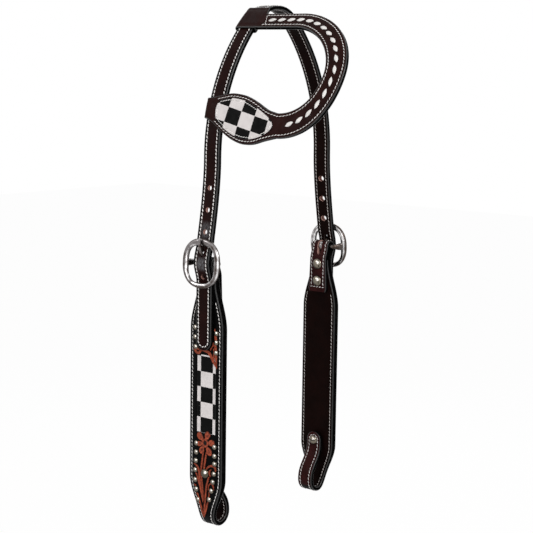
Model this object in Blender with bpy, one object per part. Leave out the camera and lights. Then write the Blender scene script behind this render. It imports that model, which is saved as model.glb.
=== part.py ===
# A one-ear western headstall: crown strap, sliding ear piece, two buckles and two cheeks.
# Metres, +Z up. +X is the horse's forward side, towards which the ear piece bulges.
# The origin is the flat top of the crown's underside, where it rests behind the ears.
# Right is the side at -Y and left is the side at +Y.
import math

import bmesh
import bpy
from mathutils import Vector

for old_object in list(bpy.data.objects):
    bpy.data.objects.remove(old_object, do_unlink=True)

# Leather, stacked with a small gap between layers that touch.
clearance = 0.0003
edge_round = 0.0005
cut_overrun = 0.002

# Crown strap: a lining and a face, bent over the poll and down both sides.
strap_width = 0.0174
strap_lining_thickness = 0.0017
strap_face_thickness = 0.0018
poll_flat = 0.003
poll_radius = 0.0301
side_radius = 0.1611
shoulder_angle = math.radians(42)
strap_tip_length = 0.0085

# Buckle: a flat frame that leans a little, a centre bar set back behind it on bent ends, and a tongue.
bar_offset = 0.0815
bar_drop = 0.217
bar_radius = 0.002
frame_width = 0.042
frame_height = 0.0428
frame_rim = 0.0064
frame_depth = 0.0034
frame_stand = 0.0088
frame_lean = 0.0011
frame_squareness = 2.35
bar_end_gap = 0.001
tongue_radius = 0.0013
tongue_hub_width = 0.0042
tongue_overhang = 0.0012

# Holes of the crown strap, counted from the one that the tongue is in.
hole_pitch = 0.01905
hole_radius = 0.0022
tongue_hole_rise = 0.0077
tongue_hole_length = 0.0114
holes_above = 3
holes_below = 1
billet_length = 0.0845

# Cheek: a face that folds over the bar and turns up again below as the bit loop, and a lining.
cheek_width = 0.0374
cheek_face_thickness = 0.003
cheek_lining_thickness = 0.0032
seam_depth = 0.00155
neck_width = 0.0182
neck_tab_width = 0.0208
neck_tab_length = 0.043
neck_start = 0.012
neck_end = 0.058
lining_top = 0.0128
tail_width = 0.016
tail_thickness = 0.0019
loop_drop = 0.2335
loop_bottom_depth = 0.0105
loop_bulge = 0.0205
# Rises above the loop's bottom, and the taper's length.
loop_leave_rise = 0.0145
loop_bulge_rise = 0.01
loop_join_rise = 0.043
screw_rise = 0.0465
taper_end_rise = 0.0035
taper_length = 0.039

# Checked panel let into the cheek's face.
panel_low_x = -0.0103
panel_high_x = 0.0115
panel_top = 0.081
panel_spot_gap = 0.0095
panel_thickness = 0.0008
panel_sink = 0.0008

# Round spots along both edges of the cheek's face. The lower ones start above the screw.
spot_radius = 0.0025
spot_height = 0.0014
spot_pitch = 0.0081
spot_column = 0.0116
spot_edge_inset = 0.0054
upper_spot_drop = 0.0575
upper_spot_count = 3
lower_spot_rise = 0.0255
lower_spot_count = 6

# Rivets of the neck, and the two-part screw that closes the bit loop.
rivet_drops = (0.0166, 0.0328)
rivet_shank_radius = 0.0014
rivet_cap_radius = 0.0041
rivet_cap_height = 0.0021
rivet_head_radius = 0.0034
rivet_head_thickness = 0.001
screw_dome_radius = 0.0044
screw_dome_height = 0.0025
screw_post_radius = 0.0023
screw_bore_radius = 0.0016
screw_shank_radius = 0.0013
screw_slot_width = 0.0009
screw_slot_depth = 0.0007

# Ear piece: a band on the right side arc, laid out by x and by the way down from the shoulder.
ear_layer = 0.0018
ear_top_drop = 0.009
ear_top_width = 0.016
ear_band_width = 0.0204
ear_turn_x = 0.057
ear_front_x = 0.1172
ear_front_drop = 0.061
ear_bottom_x = 0.070
ear_bottom_drop = 0.1055
ear_upper_swing = 0.027
ear_lower_swing = 0.026
lobe_height = 0.0395
lobe_keeper_x = 0.0072
ear_keeper_width = 0.0174
ear_keeper_drop = 0.0932
# Strips across the ear leather, so that it follows the arc.
ear_columns = 3
# Along the lobe from the band to the keeper: place, upper edge and lower edge.
lobe_shares = ((0.0, 0.258, -0.258), (0.155, 0.332, -0.327), (0.31, 0.476, -0.408), (0.45, 0.585, -0.415),
               (0.58, 0.63, -0.352), (0.69, 0.64, -0.256), (0.80, 0.605, -0.127), (0.905, 0.56, 0.0),
               (1.0, 0.531, 0.091))
inlay_margin = 0.0046
inlay_thickness = 0.0007
inlay_start_share = 0.06
inlay_end_share = 0.87
inlay_nose_share = 0.34
inlay_heel_share = 0.14
inlay_blunt_share = 0.14
lace_count = 18
lace_length = 0.0078
lace_width = 0.0046
lace_height = 0.0009
lace_first_x = 0.0255
lace_last_x = 0.0845

# Sizes that follow from the ones above.
strap_thickness = strap_lining_thickness + clearance + strap_face_thickness
strap_middle = strap_thickness / 2
poll_centre_drop = poll_radius
side_centre_width = poll_flat / 2 - (side_radius - poll_radius) * math.sin(shoulder_angle)
side_centre_drop = poll_centre_drop + (side_radius - poll_radius) * math.cos(shoulder_angle)
fold_radius = bar_radius + clearance
fold_outer = fold_radius + cheek_face_thickness
cheek_front = cheek_face_thickness + clearance / 2 - seam_depth
tab_inner_depth = seam_depth + clearance / 2 + cheek_lining_thickness + clearance
tail_seam_depth = tab_inner_depth + tail_thickness + clearance / 2
tail_back_depth = tail_seam_depth + clearance / 2 + tail_thickness
strap_seat = cheek_front + clearance
rim_stand = frame_stand - frame_lean
ear_lining_low = strap_thickness - ear_layer
ear_face_low = strap_thickness + clearance
ear_face_high = ear_face_low + ear_layer
keeper_radius = strap_middle + clearance
keeper_x = strap_width / 2 - (keeper_radius - edge_round - 2 * clearance)
lining_start_x = keeper_x + keeper_radius + ear_layer + clearance
loop_leave = loop_drop - loop_leave_rise
loop_bulge_drop = loop_drop - loop_bulge_rise
loop_join = loop_drop - loop_join_rise
screw_drop = loop_drop - screw_rise
taper_end = loop_drop - taper_end_rise
taper_start = taper_end - taper_length
lower_spot_drop = screw_drop - lower_spot_rise
panel_length = lower_spot_drop - panel_spot_gap - panel_top
SIDES = (("right", -1), ("left", 1))


def material(name, color, roughness, metallic):
    """Return a plain Principled material."""
    made = bpy.data.materials.new(name)
    made.use_nodes = True
    shader = made.node_tree.nodes["Principled BSDF"]
    shader.inputs["Base Color"].default_value = (*color, 1)
    shader.inputs["Roughness"].default_value = roughness
    shader.inputs["Metallic"].default_value = metallic
    return made


brown_leather = material("brown_leather", (0.055, 0.02, 0.017), 0.45, 0)
ear_leather = material("ear_leather", (0.075, 0.022, 0.018), 0.45, 0)
dark_lining = material("dark_lining", (0.02, 0.009, 0.008), 0.6, 0)
black_leather = material("black_leather", (0.012, 0.012, 0.012), 0.45, 0)
check_leather = material("check_leather", (0.8, 0.77, 0.76), 0.6, 0)
lace_rawhide = material("lace_rawhide", (0.85, 0.83, 0.8), 0.6, 0)
steel = material("stainless_steel", (0.72, 0.72, 0.72), 0.18, 1)
nickel = material("antique_nickel", (0.5, 0.47, 0.4), 0.3, 1)


def smooth_step(share):
    """Ease from 0 to 1 as the share goes from 0 to 1."""
    held = min(max(share, 0), 1)
    return held * held * (3 - 2 * held)


def bezier(start, start_handle, end, end_handle, steps):
    """Points and tangents of a cubic from start to end, the start left out."""
    p0 = Vector(start)
    p3 = Vector(end)
    p1 = p0 + Vector(start_handle)
    p2 = p3 - Vector(end_handle)
    found = []
    for step in range(1, steps + 1):
        t = step / steps
        point = p0 * (1 - t) ** 3 + p1 * 3 * t * (1 - t) ** 2 + p2 * 3 * t * t * (1 - t) + p3 * t ** 3
        slope = (p1 - p0) * (1 - t) ** 2 + (p2 - p1) * 2 * t * (1 - t) + (p3 - p2) * t * t
        found.append((point, slope.normalized()))
    return found


def flat_ring(centre, across, outward, low, high, inner, outer, columns=1):
    """Points of a strip's cut section: low to high across it, inner to outer through it."""
    soft = min(edge_round, (high - low) / 4, (outer - inner) / 4)
    places = [low + soft + (high - low - 2 * soft) * column / columns for column in range(columns + 1)]
    section = [(place, inner) for place in places] + [(high, inner + soft), (high, outer - soft)]
    section += [(place, outer) for place in places[::-1]] + [(low, outer - soft), (low, inner + soft)]
    return [Vector(centre) + Vector(across) * a + Vector(outward) * b for a, b in section]


def make_object(name, mesh_data, surface):
    """Link a bmesh as an object with one material and faces that point out."""
    bmesh.ops.recalc_face_normals(mesh_data, faces=mesh_data.faces)
    mesh = bpy.data.meshes.new(name)
    mesh_data.to_mesh(mesh)
    mesh_data.free()
    mesh.materials.append(surface)
    mesh.shade_smooth()
    mesh.set_sharp_from_angle(angle=math.radians(35))
    made = bpy.data.objects.new(name, mesh)
    bpy.context.scene.collection.objects.link(made)
    return made


def add_skin(target, rings, closed=False):
    """Join rings of points, one after another, and cap the two ends unless the strip is closed."""
    rows = [[target.verts.new(point) for point in ring] for ring in rings]
    pairs = list(zip(rows, rows[1:]))
    if closed:
        pairs.append((rows[-1], rows[0]))
    for first, second in pairs:
        count = len(first)
        for i in range(count):
            j = (i + 1) % count
            target.faces.new((first[i], first[j], second[j], second[i]))
    if not closed:
        target.faces.new(rows[0][::-1])
        target.faces.new(rows[-1])


def strip_object(name, rings, surface):
    """An object made of one strip of rings."""
    data = bmesh.new()
    add_skin(data, rings)
    return make_object(name, data, surface)


def place_origin(made, point):
    """Move an object's origin to a point and leave its shape where it is."""
    offset = Vector(point)
    for vertex in made.data.vertices:
        vertex.co -= offset
    made.location = offset


def cut(target, cutters):
    """Cut a joined set of closed cutters out of an object."""
    data = bmesh.new()
    for rings in cutters:
        add_skin(data, rings)
    tool = make_object(target.name + "_cutter", data, target.data.materials[0])
    tool.hide_render = True
    tool.display_type = "WIRE"
    modifier = target.modifiers.new("cut", "BOOLEAN")
    modifier.operation = "DIFFERENCE"
    modifier.solver = "EXACT"
    modifier.object = tool


def round_ring(centre, first_axis, second_axis, first_radius, second_radius, count):
    """Points on an ellipse about a centre."""
    turns = [2 * math.pi * i / count for i in range(count)]
    return [Vector(centre) + Vector(first_axis) * first_radius * math.cos(turn)
            + Vector(second_axis) * second_radius * math.sin(turn) for turn in turns]


def peg(centre, direction, start, end, radius, count=12):
    """Two rings of a straight peg along a direction, measured from a centre."""
    axis = Vector(direction).normalized()
    first = Vector((1, 0, 0))
    second = axis.cross(first).normalized()
    return [round_ring(Vector(centre) + axis * at, first, second, radius, radius, count) for at in (start, end)]


def turned(centre, direction, profile, count):
    """Rings of a turned shape: the profile lists a height along the direction and a radius."""
    axis = Vector(direction).normalized()
    first = Vector((1, 0, 0))
    second = axis.cross(first).normalized()
    return [round_ring(Vector(centre) + axis * height, first, second, radius, radius, count)
            for height, radius in profile]


# Share of a dome's height and of its radius, from the rim to the crown.
dome_shares = ((0.0, 1.0), (0.5, 0.87), (0.87, 0.5), (1.0, 0.1))


def dome_profile(start, height, radius):
    """A dome's heights and radii, from its flat underside outward."""
    return [(start + height * up, radius * out) for up, out in dome_shares]


def strap_half_path():
    """One half of the crown strap's underside: width from the middle, height, and outward normal."""
    found = [(poll_flat / 2, 0.0, 0.0, 1.0)]
    poll_steps = 6
    for step in range(1, poll_steps + 1):
        angle = shoulder_angle * step / poll_steps
        found.append((poll_flat / 2 + poll_radius * math.sin(angle), poll_radius * math.cos(angle) - poll_centre_drop,
                      math.sin(angle), math.cos(angle)))
    side_steps = 11
    for step in range(1, side_steps + 1):
        angle = shoulder_angle + (math.pi / 2 - shoulder_angle) * step / side_steps
        found.append((side_centre_width + side_radius * math.sin(angle),
                      side_radius * math.cos(angle) - side_centre_drop, math.sin(angle), math.cos(angle)))
    start = (found[-1][0], found[-1][1])
    rim_reach = frame_height / 2 - frame_rim / 2
    rim_seat = rim_stand - frame_depth / 2 - 2 * clearance - strap_thickness
    above_rim = (bar_offset + rim_seat, -bar_drop + rim_reach)
    over_bar = (bar_offset + fold_outer + clearance, -bar_drop)
    below_bar = (bar_offset + strap_seat, -bar_drop - rim_reach)
    straight_down = rim_reach / 3
    pieces = bezier(start, (0, -rim_reach * 1.6), above_rim, (straight_down * 0.12, -straight_down), 7)
    pieces += bezier(above_rim, (straight_down * 0.12, -straight_down), over_bar, (0, -straight_down), 5)
    pieces += bezier(over_bar, (0, -straight_down), below_bar, (0, -straight_down * 1.4), 5)
    for point, slope in pieces:
        found.append((point.x, point.y, -slope.y, slope.x))
    return found


def walk(path):
    """Distance along a path of (width, height, ...) at each of its points."""
    total = 0.0
    reached = [total]
    for first, second in zip(path, path[1:]):
        total += math.hypot(second[0] - first[0], second[1] - first[1])
        reached.append(total)
    return reached


def path_at(path, distance):
    """Point and normal on a path, a distance from its start."""
    reached = walk(path)
    for i in range(len(path) - 1):
        if reached[i + 1] >= distance:
            share = (distance - reached[i]) / (reached[i + 1] - reached[i])
            return [a + (b - a) * share for a, b in zip(path[i], path[i + 1])]
    return list(path[-1])


half_path = strap_half_path()
bar_distance = next(d for d, p in zip(walk(half_path), half_path) if p[1] <= -bar_drop + edge_round)
tongue_hole_distance = bar_distance - tongue_hole_rise
tip_height = half_path[-1][1] - (billet_length - (walk(half_path)[-1] - tongue_hole_distance))


def crown_strap(name, low, high, surface):
    """One layer of the crown strap, from tip to tip, with its punched holes."""
    half = [(w, z, nw, nz, strap_width / 2) for w, z, nw, nz in half_path]
    seat = half_path[-1][0]
    half.append((seat, tip_height + strap_tip_length, 1.0, 0.0, strap_width / 2))
    tip_steps = 4
    for step in range(1, tip_steps + 1):
        share = step / (tip_steps + 0.25)
        half.append((seat, tip_height + strap_tip_length * (1 - share), 1.0, 0.0,
                     strap_width / 2 * math.sqrt(1 - share ** 2)))
    rings = []
    for side in (-1, 1):
        ordered = half[::-1] if side < 0 else half
        for w, z, nw, nz, half_width in ordered:
            rings.append(flat_ring((0, side * w, z), (1, 0, 0), (0, side * nw, nz), -half_width, half_width,
                                   low, high))
    strap = strip_object(name, rings, surface)
    cutters = []
    for side in (-1, 1):
        for index in range(-holes_above, holes_below + 1):
            w, z, nw, nz = path_at(half_path, tongue_hole_distance + index * hole_pitch)
            outward = Vector((0, side * nw, nz)).normalized()
            along = outward.cross(Vector((1, 0, 0))).normalized()
            reach = tongue_hole_length / 2 if index == 0 else hole_radius
            cutters.append([round_ring(Vector((0, side * w, z)) + outward * at, (1, 0, 0), along, hole_radius,
                                       reach, 10) for at in (low - cut_overrun, high + cut_overrun)])
    cut(strap, cutters)
    return strap


crown_strap("crown_lining", 0.0, strap_lining_thickness, dark_lining)
crown_strap("crown_face", strap_lining_thickness + clearance, strap_thickness, brown_leather)


def side_arc_point(local):
    """Where a point of the ear piece lies: x, drop along the right side arc, height above its underside."""
    x, drop, height = local
    angle = shoulder_angle + drop / side_radius
    reach = side_radius + height
    width = side_centre_width + reach * math.sin(angle)
    return Vector((x, -width, reach * math.cos(angle) - side_centre_drop))


def lobe_edges(share):
    """Upper and lower edge of the lobe, as drops, at a share of the way to its keeper."""
    rows = lobe_shares
    for i in range(len(rows) - 1):
        if share <= rows[i + 1][0]:
            break
    before = rows[max(i - 1, 0)]
    after = rows[min(i + 2, len(rows) - 1)]
    here, there = rows[i], rows[i + 1]
    span = there[0] - here[0]
    t = min((share - here[0]) / span, 1)
    edges = []
    for column in (1, 2):
        slope_here = (there[column] - before[column]) / (there[0] - before[0])
        slope_there = (after[column] - here[column]) / (after[0] - here[0])
        value = ((2 * t ** 3 - 3 * t ** 2 + 1) * here[column] + (t ** 3 - 2 * t ** 2 + t) * span * slope_here
                 + (-2 * t ** 3 + 3 * t ** 2) * there[column] + (t ** 3 - t ** 2) * span * slope_there)
        edges.append(ear_bottom_drop - lobe_height * value)
    return edges


def lobe_x(share):
    """Place along x at a share of the way from the band to the lobe's keeper."""
    return ear_bottom_x + (-lobe_keeper_x - ear_bottom_x) * share


def ear_outline():
    """Stations of the band in (x, drop): centre, direction across to the outside, and half width."""
    found = []
    straight_steps = 2
    for step in range(straight_steps + 1):
        x = lining_start_x + (ear_turn_x - lining_start_x) * step / straight_steps
        found.append((Vector((x, ear_top_drop)), Vector((0, -1)), ear_top_width / 2))
    upper = bezier((ear_turn_x, ear_top_drop), (ear_upper_swing, 0), (ear_front_x, ear_front_drop),
                   (0, ear_upper_swing), 13)
    lower = bezier((ear_front_x, ear_front_drop), (0, ear_lower_swing), (ear_bottom_x, ear_bottom_drop),
                   (-ear_lower_swing, 0), 12)
    for index, (point, slope) in enumerate(upper):
        width = ear_top_width + (ear_band_width - ear_top_width) * smooth_step((index + 1) / len(upper))
        found.append((point, Vector((slope.y, -slope.x)), width / 2))
    for point, slope in lower:
        found.append((point, Vector((slope.y, -slope.x)), ear_band_width / 2))
    lobe_steps = 15
    for step in range(1, lobe_steps + 1):
        share = step / lobe_steps
        top, bottom = lobe_edges(share)
        found.append((Vector((lobe_x(share), (top + bottom) / 2)), Vector((0, 1)), (bottom - top) / 2))
    return found


ear_stations = ear_outline()


def ear_ring(centre, across, half_width, low, high):
    """A cut section of the flat band, as points on the side arc."""
    ring = flat_ring((centre.x, centre.y, 0), (across.x, across.y, 0), (0, 0, 1), -half_width, half_width,
                     low, high, ear_columns)
    return [side_arc_point(point) for point in ring]


def keeper_rings(drop, width, drop_sign):
    """The ear leather's end, turned round the crown strap, from its sewn end to the front of the strap."""
    rings = []
    high = ear_face_low - clearance
    x = keeper_x + keeper_radius
    across = (0, drop_sign, 0)
    half = width / 2
    spine = [((x, drop, high), (1, 0, 0))]
    for side, centre_x, turn_start in ((1, keeper_x, 0.0), (-1, -keeper_x, -0.5)):
        turn_steps = 3 if side > 0 else 6
        for step in range(turn_steps + 1):
            turn = math.pi * (turn_start - (0.5 if side > 0 else 1.0) * step / turn_steps)
            out = (math.cos(turn), 0, math.sin(turn))
            spine.append(((centre_x + keeper_radius * out[0], drop, strap_middle + keeper_radius * out[2]), out))
    for centre, out in spine:
        ring = flat_ring(centre, across, out, -half, half, 0, ear_layer, ear_columns)
        rings.append([side_arc_point(point) for point in ring])
    return rings


def ear_face():
    """The ear piece's face: keeper, band, lobe and keeper, in one strip."""
    rings = keeper_rings(ear_top_drop, ear_top_width, -1)
    for centre, across, half_width in ear_stations:
        rings.append(ear_ring(centre, across, half_width, ear_face_low, ear_face_high))
    rings += keeper_rings(ear_keeper_drop, ear_keeper_width, 1)[::-1]
    return strip_object("ear_face", rings, ear_leather)


def ear_lining():
    """The ear piece's lining, which stops beside the crown strap."""
    rings = []
    for centre, across, half_width in ear_stations:
        if centre.x >= lining_start_x - clearance:
            rings.append(ear_ring(centre, across, half_width, ear_lining_low, strap_thickness))
    return strip_object("ear_lining", rings, dark_lining)


def ear_inlay():
    """The checked panel of the lobe, a rounded shape inside the lobe's edge."""
    rings = []
    steps = 14
    low = ear_face_high + clearance
    for step in range(steps + 1):
        share = inlay_start_share + (inlay_end_share - inlay_start_share) * step / steps
        top, bottom = lobe_edges(share)
        along = step / steps
        nose = math.sqrt(1 - (1 - min(along / inlay_nose_share, 1)) ** 2)
        heel = math.sqrt(1 - (max(along - 1 + inlay_heel_share, 0) / inlay_heel_share) ** 2)
        half_width = ((bottom - top) / 2 - inlay_margin) * max(nose * heel, inlay_blunt_share)
        centre = Vector((lobe_x(share), (top + bottom) / 2))
        rings.append(ear_ring(centre, Vector((0, 1)), half_width, low, low + inlay_thickness))
    return strip_object("ear_inlay", rings, check_leather)


def lace_line():
    """Places and directions along the lacing, from the top of the band round to the lobe."""
    points = [(centre, across) for centre, across, _ in ear_stations]
    first = next(i for i, (centre, _) in enumerate(points) if centre.x >= lace_first_x) - 1
    start_share = (lace_first_x - points[first][0].x) / (points[first + 1][0].x - points[first][0].x)
    lengths = [0.0]
    for (a, _), (b, _) in zip(points, points[1:]):
        lengths.append(lengths[-1] + (b - a).length)
    start = lengths[first] + start_share * (lengths[first + 1] - lengths[first])
    turned_back = next(i for i, (centre, _) in enumerate(points) if i > first + 8 and centre.x <= lace_last_x)
    end = lengths[turned_back]
    found = []
    for index in range(lace_count):
        distance = start + (end - start) * index / (lace_count - 1)
        i = max(k for k in range(len(lengths) - 1) if lengths[k] <= distance)
        share = (distance - lengths[i]) / (lengths[i + 1] - lengths[i])
        centre = points[i][0].lerp(points[i + 1][0], share)
        across = points[i][1].lerp(points[i + 1][1], share).normalized()
        found.append((centre, across))
    return found


# Along one stitch of the lacing: place, width and height, as shares of its own sizes.
stitch_shares = ((-0.5, 0.22, 0.4), (-0.22, 0.85, 0.9), (0.0, 1.0, 1.0), (0.22, 0.85, 0.9), (0.5, 0.22, 0.4))


def ear_lacing():
    """One lace along the middle of the band, wide at each buckstitch and narrow between them."""
    rings = []
    low = ear_face_high + clearance
    for centre, across in lace_line():
        along = Vector((-across.y, across.x))
        for place, wide, tall in stitch_shares:
            ring = []
            for a, b in ((-1, 0), (1, 0), (0.6, 1), (-0.6, 1)):
                flat = centre + along * place * lace_length + across * a * wide * lace_width / 2
                ring.append(side_arc_point((flat.x, flat.y, low + b * tall * lace_height)))
            rings.append(ring)
    return strip_object("ear_lacing", rings, lace_rawhide)


ear_body_parts = [ear_face(), ear_lining(), ear_inlay(), ear_lacing()]
ear_pivot = (0, -side_centre_width, -side_centre_drop)
for ear_part in ear_body_parts:
    place_origin(ear_part, ear_pivot)


def cheek_half_width(drop):
    """Half the cheek's width at a drop below the bar."""
    top = smooth_step((drop - neck_start) / (neck_end - neck_start))
    bottom = smooth_step((drop - taper_start) / (taper_end - taper_start))
    full = neck_width + (cheek_width - neck_width) * top
    return (full + (tail_width - full) * bottom) / 2


def tail_share(drop):
    """How far the leather has thinned to the tail's thickness, at a drop below the bar."""
    return smooth_step((drop - taper_start) / (taper_end - taper_start))


loop_front_steps = 6


def loop_stations():
    """The bit loop's seam below the flat of the cheek: depth, drop and outward normal."""
    first = bezier((-seam_depth, -loop_leave), (0, -(loop_drop - loop_leave) * 0.62),
                   (-loop_bottom_depth, -loop_drop), (-(loop_bottom_depth - seam_depth) * 0.5, 0),
                   loop_front_steps)
    second = bezier((-loop_bottom_depth, -loop_drop), (-(loop_bulge - loop_bottom_depth) * 0.6, 0),
                    (-loop_bulge, -loop_bulge_drop), (0, (loop_drop - loop_bulge_drop) * 0.55), 6)
    rise = loop_bulge_drop - loop_join
    third = bezier((-loop_bulge, -loop_bulge_drop), (0, rise * 0.45), (-tail_seam_depth, -loop_join),
                   (0, rise * 0.45), 7)
    return [(point.x, point.y, -slope.y, slope.x) for point, slope in first + second + third]


loop_path = loop_stations()


def loop_half_width(index):
    """Half the loop's width at one of its stations: the front's taper down to the bottom, then the tail's."""
    return cheek_half_width(-loop_path[index][1]) if index < loop_front_steps else tail_width / 2


def cheek_ring(side, depth, drop_height, normal, half_width, inner, outer):
    """A cut section of a cheek layer on one side of the headstall."""
    centre = (0, side * (bar_offset + depth), drop_height - bar_drop)
    return flat_ring(centre, (1, 0, 0), (0, side * normal[0], normal[1]), -half_width, half_width, inner, outer)


def end_rings(side, depth, height, normal, inner, outer):
    """The round end of the tail, above the screw."""
    rings = []
    steps = 5
    rise = tail_width / 2
    for step in range(steps + 1):
        share = step / (steps + 0.2)
        rings.append(cheek_ring(side, depth, height + rise * share, normal,
                                tail_width / 2 * math.sqrt(1 - share ** 2), inner, outer))
    return rings


def cheek_face(side_name, side):
    """The cheek's face: back tab, fold over the bar, front, bit loop and the tail's end."""
    thick = cheek_face_thickness
    half_gap = clearance / 2
    rings = []
    tab_steps = 4
    tab_end_inset = edge_round * 2
    for step in range(tab_steps + 1):
        share = step / tab_steps
        drop = neck_tab_length + (lining_top - neck_tab_length) * share
        width = neck_tab_width + (neck_width - neck_tab_width) * share
        inset = tab_end_inset if step == 0 else 0
        rings.append(cheek_ring(side, -tab_inner_depth, -drop, (-1, 0), width / 2 - inset, 0, thick))
    rise = lining_top / 2.4
    for point, slope in bezier((-tab_inner_depth, -lining_top), (0, rise), (-fold_radius, 0), (0, rise), 5):
        rings.append(cheek_ring(side, point.x, point.y, (-slope.y, slope.x), neck_width / 2, 0, thick))
    turn_steps = 8
    for step in range(1, turn_steps):
        turn = math.pi * (1 - step / turn_steps)
        out = (math.cos(turn), math.sin(turn))
        rings.append(cheek_ring(side, fold_radius * out[0], fold_radius * out[1], out, neck_width / 2, 0, thick))
    rings.append(cheek_ring(side, fold_radius, 0, (1, 0), neck_width / 2, 0, thick))
    front_seam = -seam_depth + half_gap
    for point, slope in bezier((fold_radius, 0), (0, -rise), (front_seam, -lining_top), (0, -rise), 5):
        rings.append(cheek_ring(side, point.x, point.y, (-slope.y, slope.x), cheek_half_width(-point.y), 0, thick))
    flat_drops = [lining_top + (neck_end - lining_top) * i / 6 for i in range(1, 7)]
    flat_drops += [taper_start + (loop_leave - taper_start) * i / 7 for i in range(8)]
    for drop in flat_drops:
        thinned = thick + (tail_thickness - thick) * tail_share(drop)
        rings.append(cheek_ring(side, -seam_depth, -drop, (1, 0), cheek_half_width(drop), half_gap,
                                half_gap + thinned))
    for index, (depth, height, out_depth, out_height) in enumerate(loop_path):
        rings.append(cheek_ring(side, depth, height, (out_depth, out_height), loop_half_width(index), half_gap,
                                half_gap + tail_thickness))
    rings += end_rings(side, -tail_seam_depth, -screw_drop, (-1, 0), half_gap, half_gap + tail_thickness)
    face = strip_object(side_name + "_cheek_face", rings, black_leather)
    slot_half = tongue_hub_width / 2 + clearance
    slot_low = -bar_drop - 2.6 * bar_radius - tongue_radius
    slot_high = -bar_drop + fold_outer + cut_overrun
    reach = fold_outer + tab_inner_depth
    slot = [flat_ring((0, side * (bar_offset + depth), (slot_low + slot_high) / 2), (1, 0, 0), (0, 0, 1),
                      -slot_half, slot_half, (slot_low - slot_high) / 2, (slot_high - slot_low) / 2)
            for depth in (-reach, reach)]
    cut(face, [slot] + cheek_holes(side) + [panel_pocket(side)])
    return face


def cheek_holes(side):
    """Cutters for the rivets, their sunk heads and the screw."""
    outward = (0, side, 0)
    cutters = []
    for drop in rivet_drops:
        centre = (0, side * bar_offset, -bar_drop - drop)
        through = tab_inner_depth + cheek_face_thickness + cut_overrun
        head_floor = cheek_front - rivet_head_thickness - clearance
        hole = rivet_shank_radius + clearance
        sink = rivet_head_radius + clearance
        cutters.append(turned(centre, outward, ((-through, hole), (head_floor, hole), (head_floor, sink),
                                                (cheek_front + cut_overrun, sink)), 12))
    centre = (0, side * bar_offset, -bar_drop - screw_drop)
    cutters.append(peg(centre, outward, -tail_back_depth - cut_overrun, cheek_front + cut_overrun,
                       screw_post_radius + clearance))
    return cutters


def panel_pocket(side):
    """Cutter for the recess that the checked panel lies in."""
    middle = (panel_low_x + panel_high_x) / 2
    half_width = (panel_high_x - panel_low_x) / 2 + clearance
    floor = cheek_front - panel_sink
    centre_y = side * (bar_offset + floor)
    rings = []
    for drop in (panel_top - clearance, panel_top + panel_length + clearance):
        rings.append(flat_ring((middle, centre_y, -bar_drop - drop), (1, 0, 0), (0, side, 0), -half_width,
                               half_width, 0, panel_sink + cut_overrun))
    return rings


def cheek_lining(side_name, side):
    """The cheek's lining, which runs on round the inside of the bit loop."""
    thick = cheek_lining_thickness
    half_gap = clearance / 2
    drops = [lining_top + (neck_end - lining_top) * i / 6 for i in range(7)]
    drops += [taper_start + (loop_leave - taper_start) * i / 7 for i in range(8)]
    rings = []
    for drop in drops:
        thinned = thick + (tail_thickness - thick) * tail_share(drop)
        rings.append(cheek_ring(side, -seam_depth, -drop, (1, 0), cheek_half_width(drop), -half_gap - thinned,
                                -half_gap))
    for index, (depth, height, out_depth, out_height) in enumerate(loop_path):
        rings.append(cheek_ring(side, depth, height, (out_depth, out_height), loop_half_width(index),
                                -half_gap - tail_thickness, -half_gap))
    rings += end_rings(side, -tail_seam_depth, -screw_drop, (-1, 0), -half_gap - tail_thickness, -half_gap)
    lining = strip_object(side_name + "_cheek_lining", rings, dark_lining)
    outward = (0, side, 0)
    cutters = []
    for drop in rivet_drops:
        cutters.append(peg((0, side * bar_offset, -bar_drop - drop), outward, -tab_inner_depth - cut_overrun,
                           cut_overrun, rivet_shank_radius + clearance, 10))
    cutters.append(peg((0, side * bar_offset, -bar_drop - screw_drop), outward, -tail_back_depth - cut_overrun,
                       cut_overrun, screw_post_radius + clearance))
    cut(lining, cutters)
    return lining


def cheek_panel(side_name, side):
    """The checked panel in its recess on the cheek's face."""
    low = cheek_front - panel_sink + clearance
    middle = (panel_low_x + panel_high_x) / 2
    half_width = (panel_high_x - panel_low_x) / 2
    rings = []
    for drop in (panel_top, panel_top + panel_length):
        rings.append(flat_ring((middle, side * (bar_offset + low), -bar_drop - drop), (1, 0, 0), (0, side, 0),
                               -half_width, half_width, 0, panel_thickness))
    return strip_object(side_name + "_cheek_panel", rings, check_leather)


def face_front(drop):
    """Depth of the face's outer surface at a drop below the bar."""
    thinned = (cheek_face_thickness - tail_thickness) * tail_share(drop)
    return cheek_front - thinned


def spot_places():
    """Places of the spots on a cheek: x and drop below the bar."""
    drops = [upper_spot_drop + spot_pitch * index for index in range(upper_spot_count)]
    drops += [lower_spot_drop + spot_pitch * index for index in range(lower_spot_count)]
    places = []
    for drop in drops:
        column = min(spot_column, cheek_half_width(drop) - spot_edge_inset)
        places.append((-column, drop))
        places.append((column, drop))
    return places


def cheek_spots(side_name, side):
    """Round spots on the cheek's face, each with the same domed mesh."""
    data = bmesh.new()
    add_skin(data, turned((0, 0, 0), (0, side, 0), dome_profile(0.0, spot_height, spot_radius), 8))
    first = None
    for index, (x, drop) in enumerate(spot_places()):
        name = f"{side_name}_cheek_spot_{index + 1:02d}"
        if first is None:
            first = make_object(name, data, nickel)
            spot = first
        else:
            spot = bpy.data.objects.new(name, first.data)
            bpy.context.scene.collection.objects.link(spot)
        seat = bar_offset + face_front(drop - spot_radius) + clearance
        spot.location = (x, side * seat, -bar_drop - drop)


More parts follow.
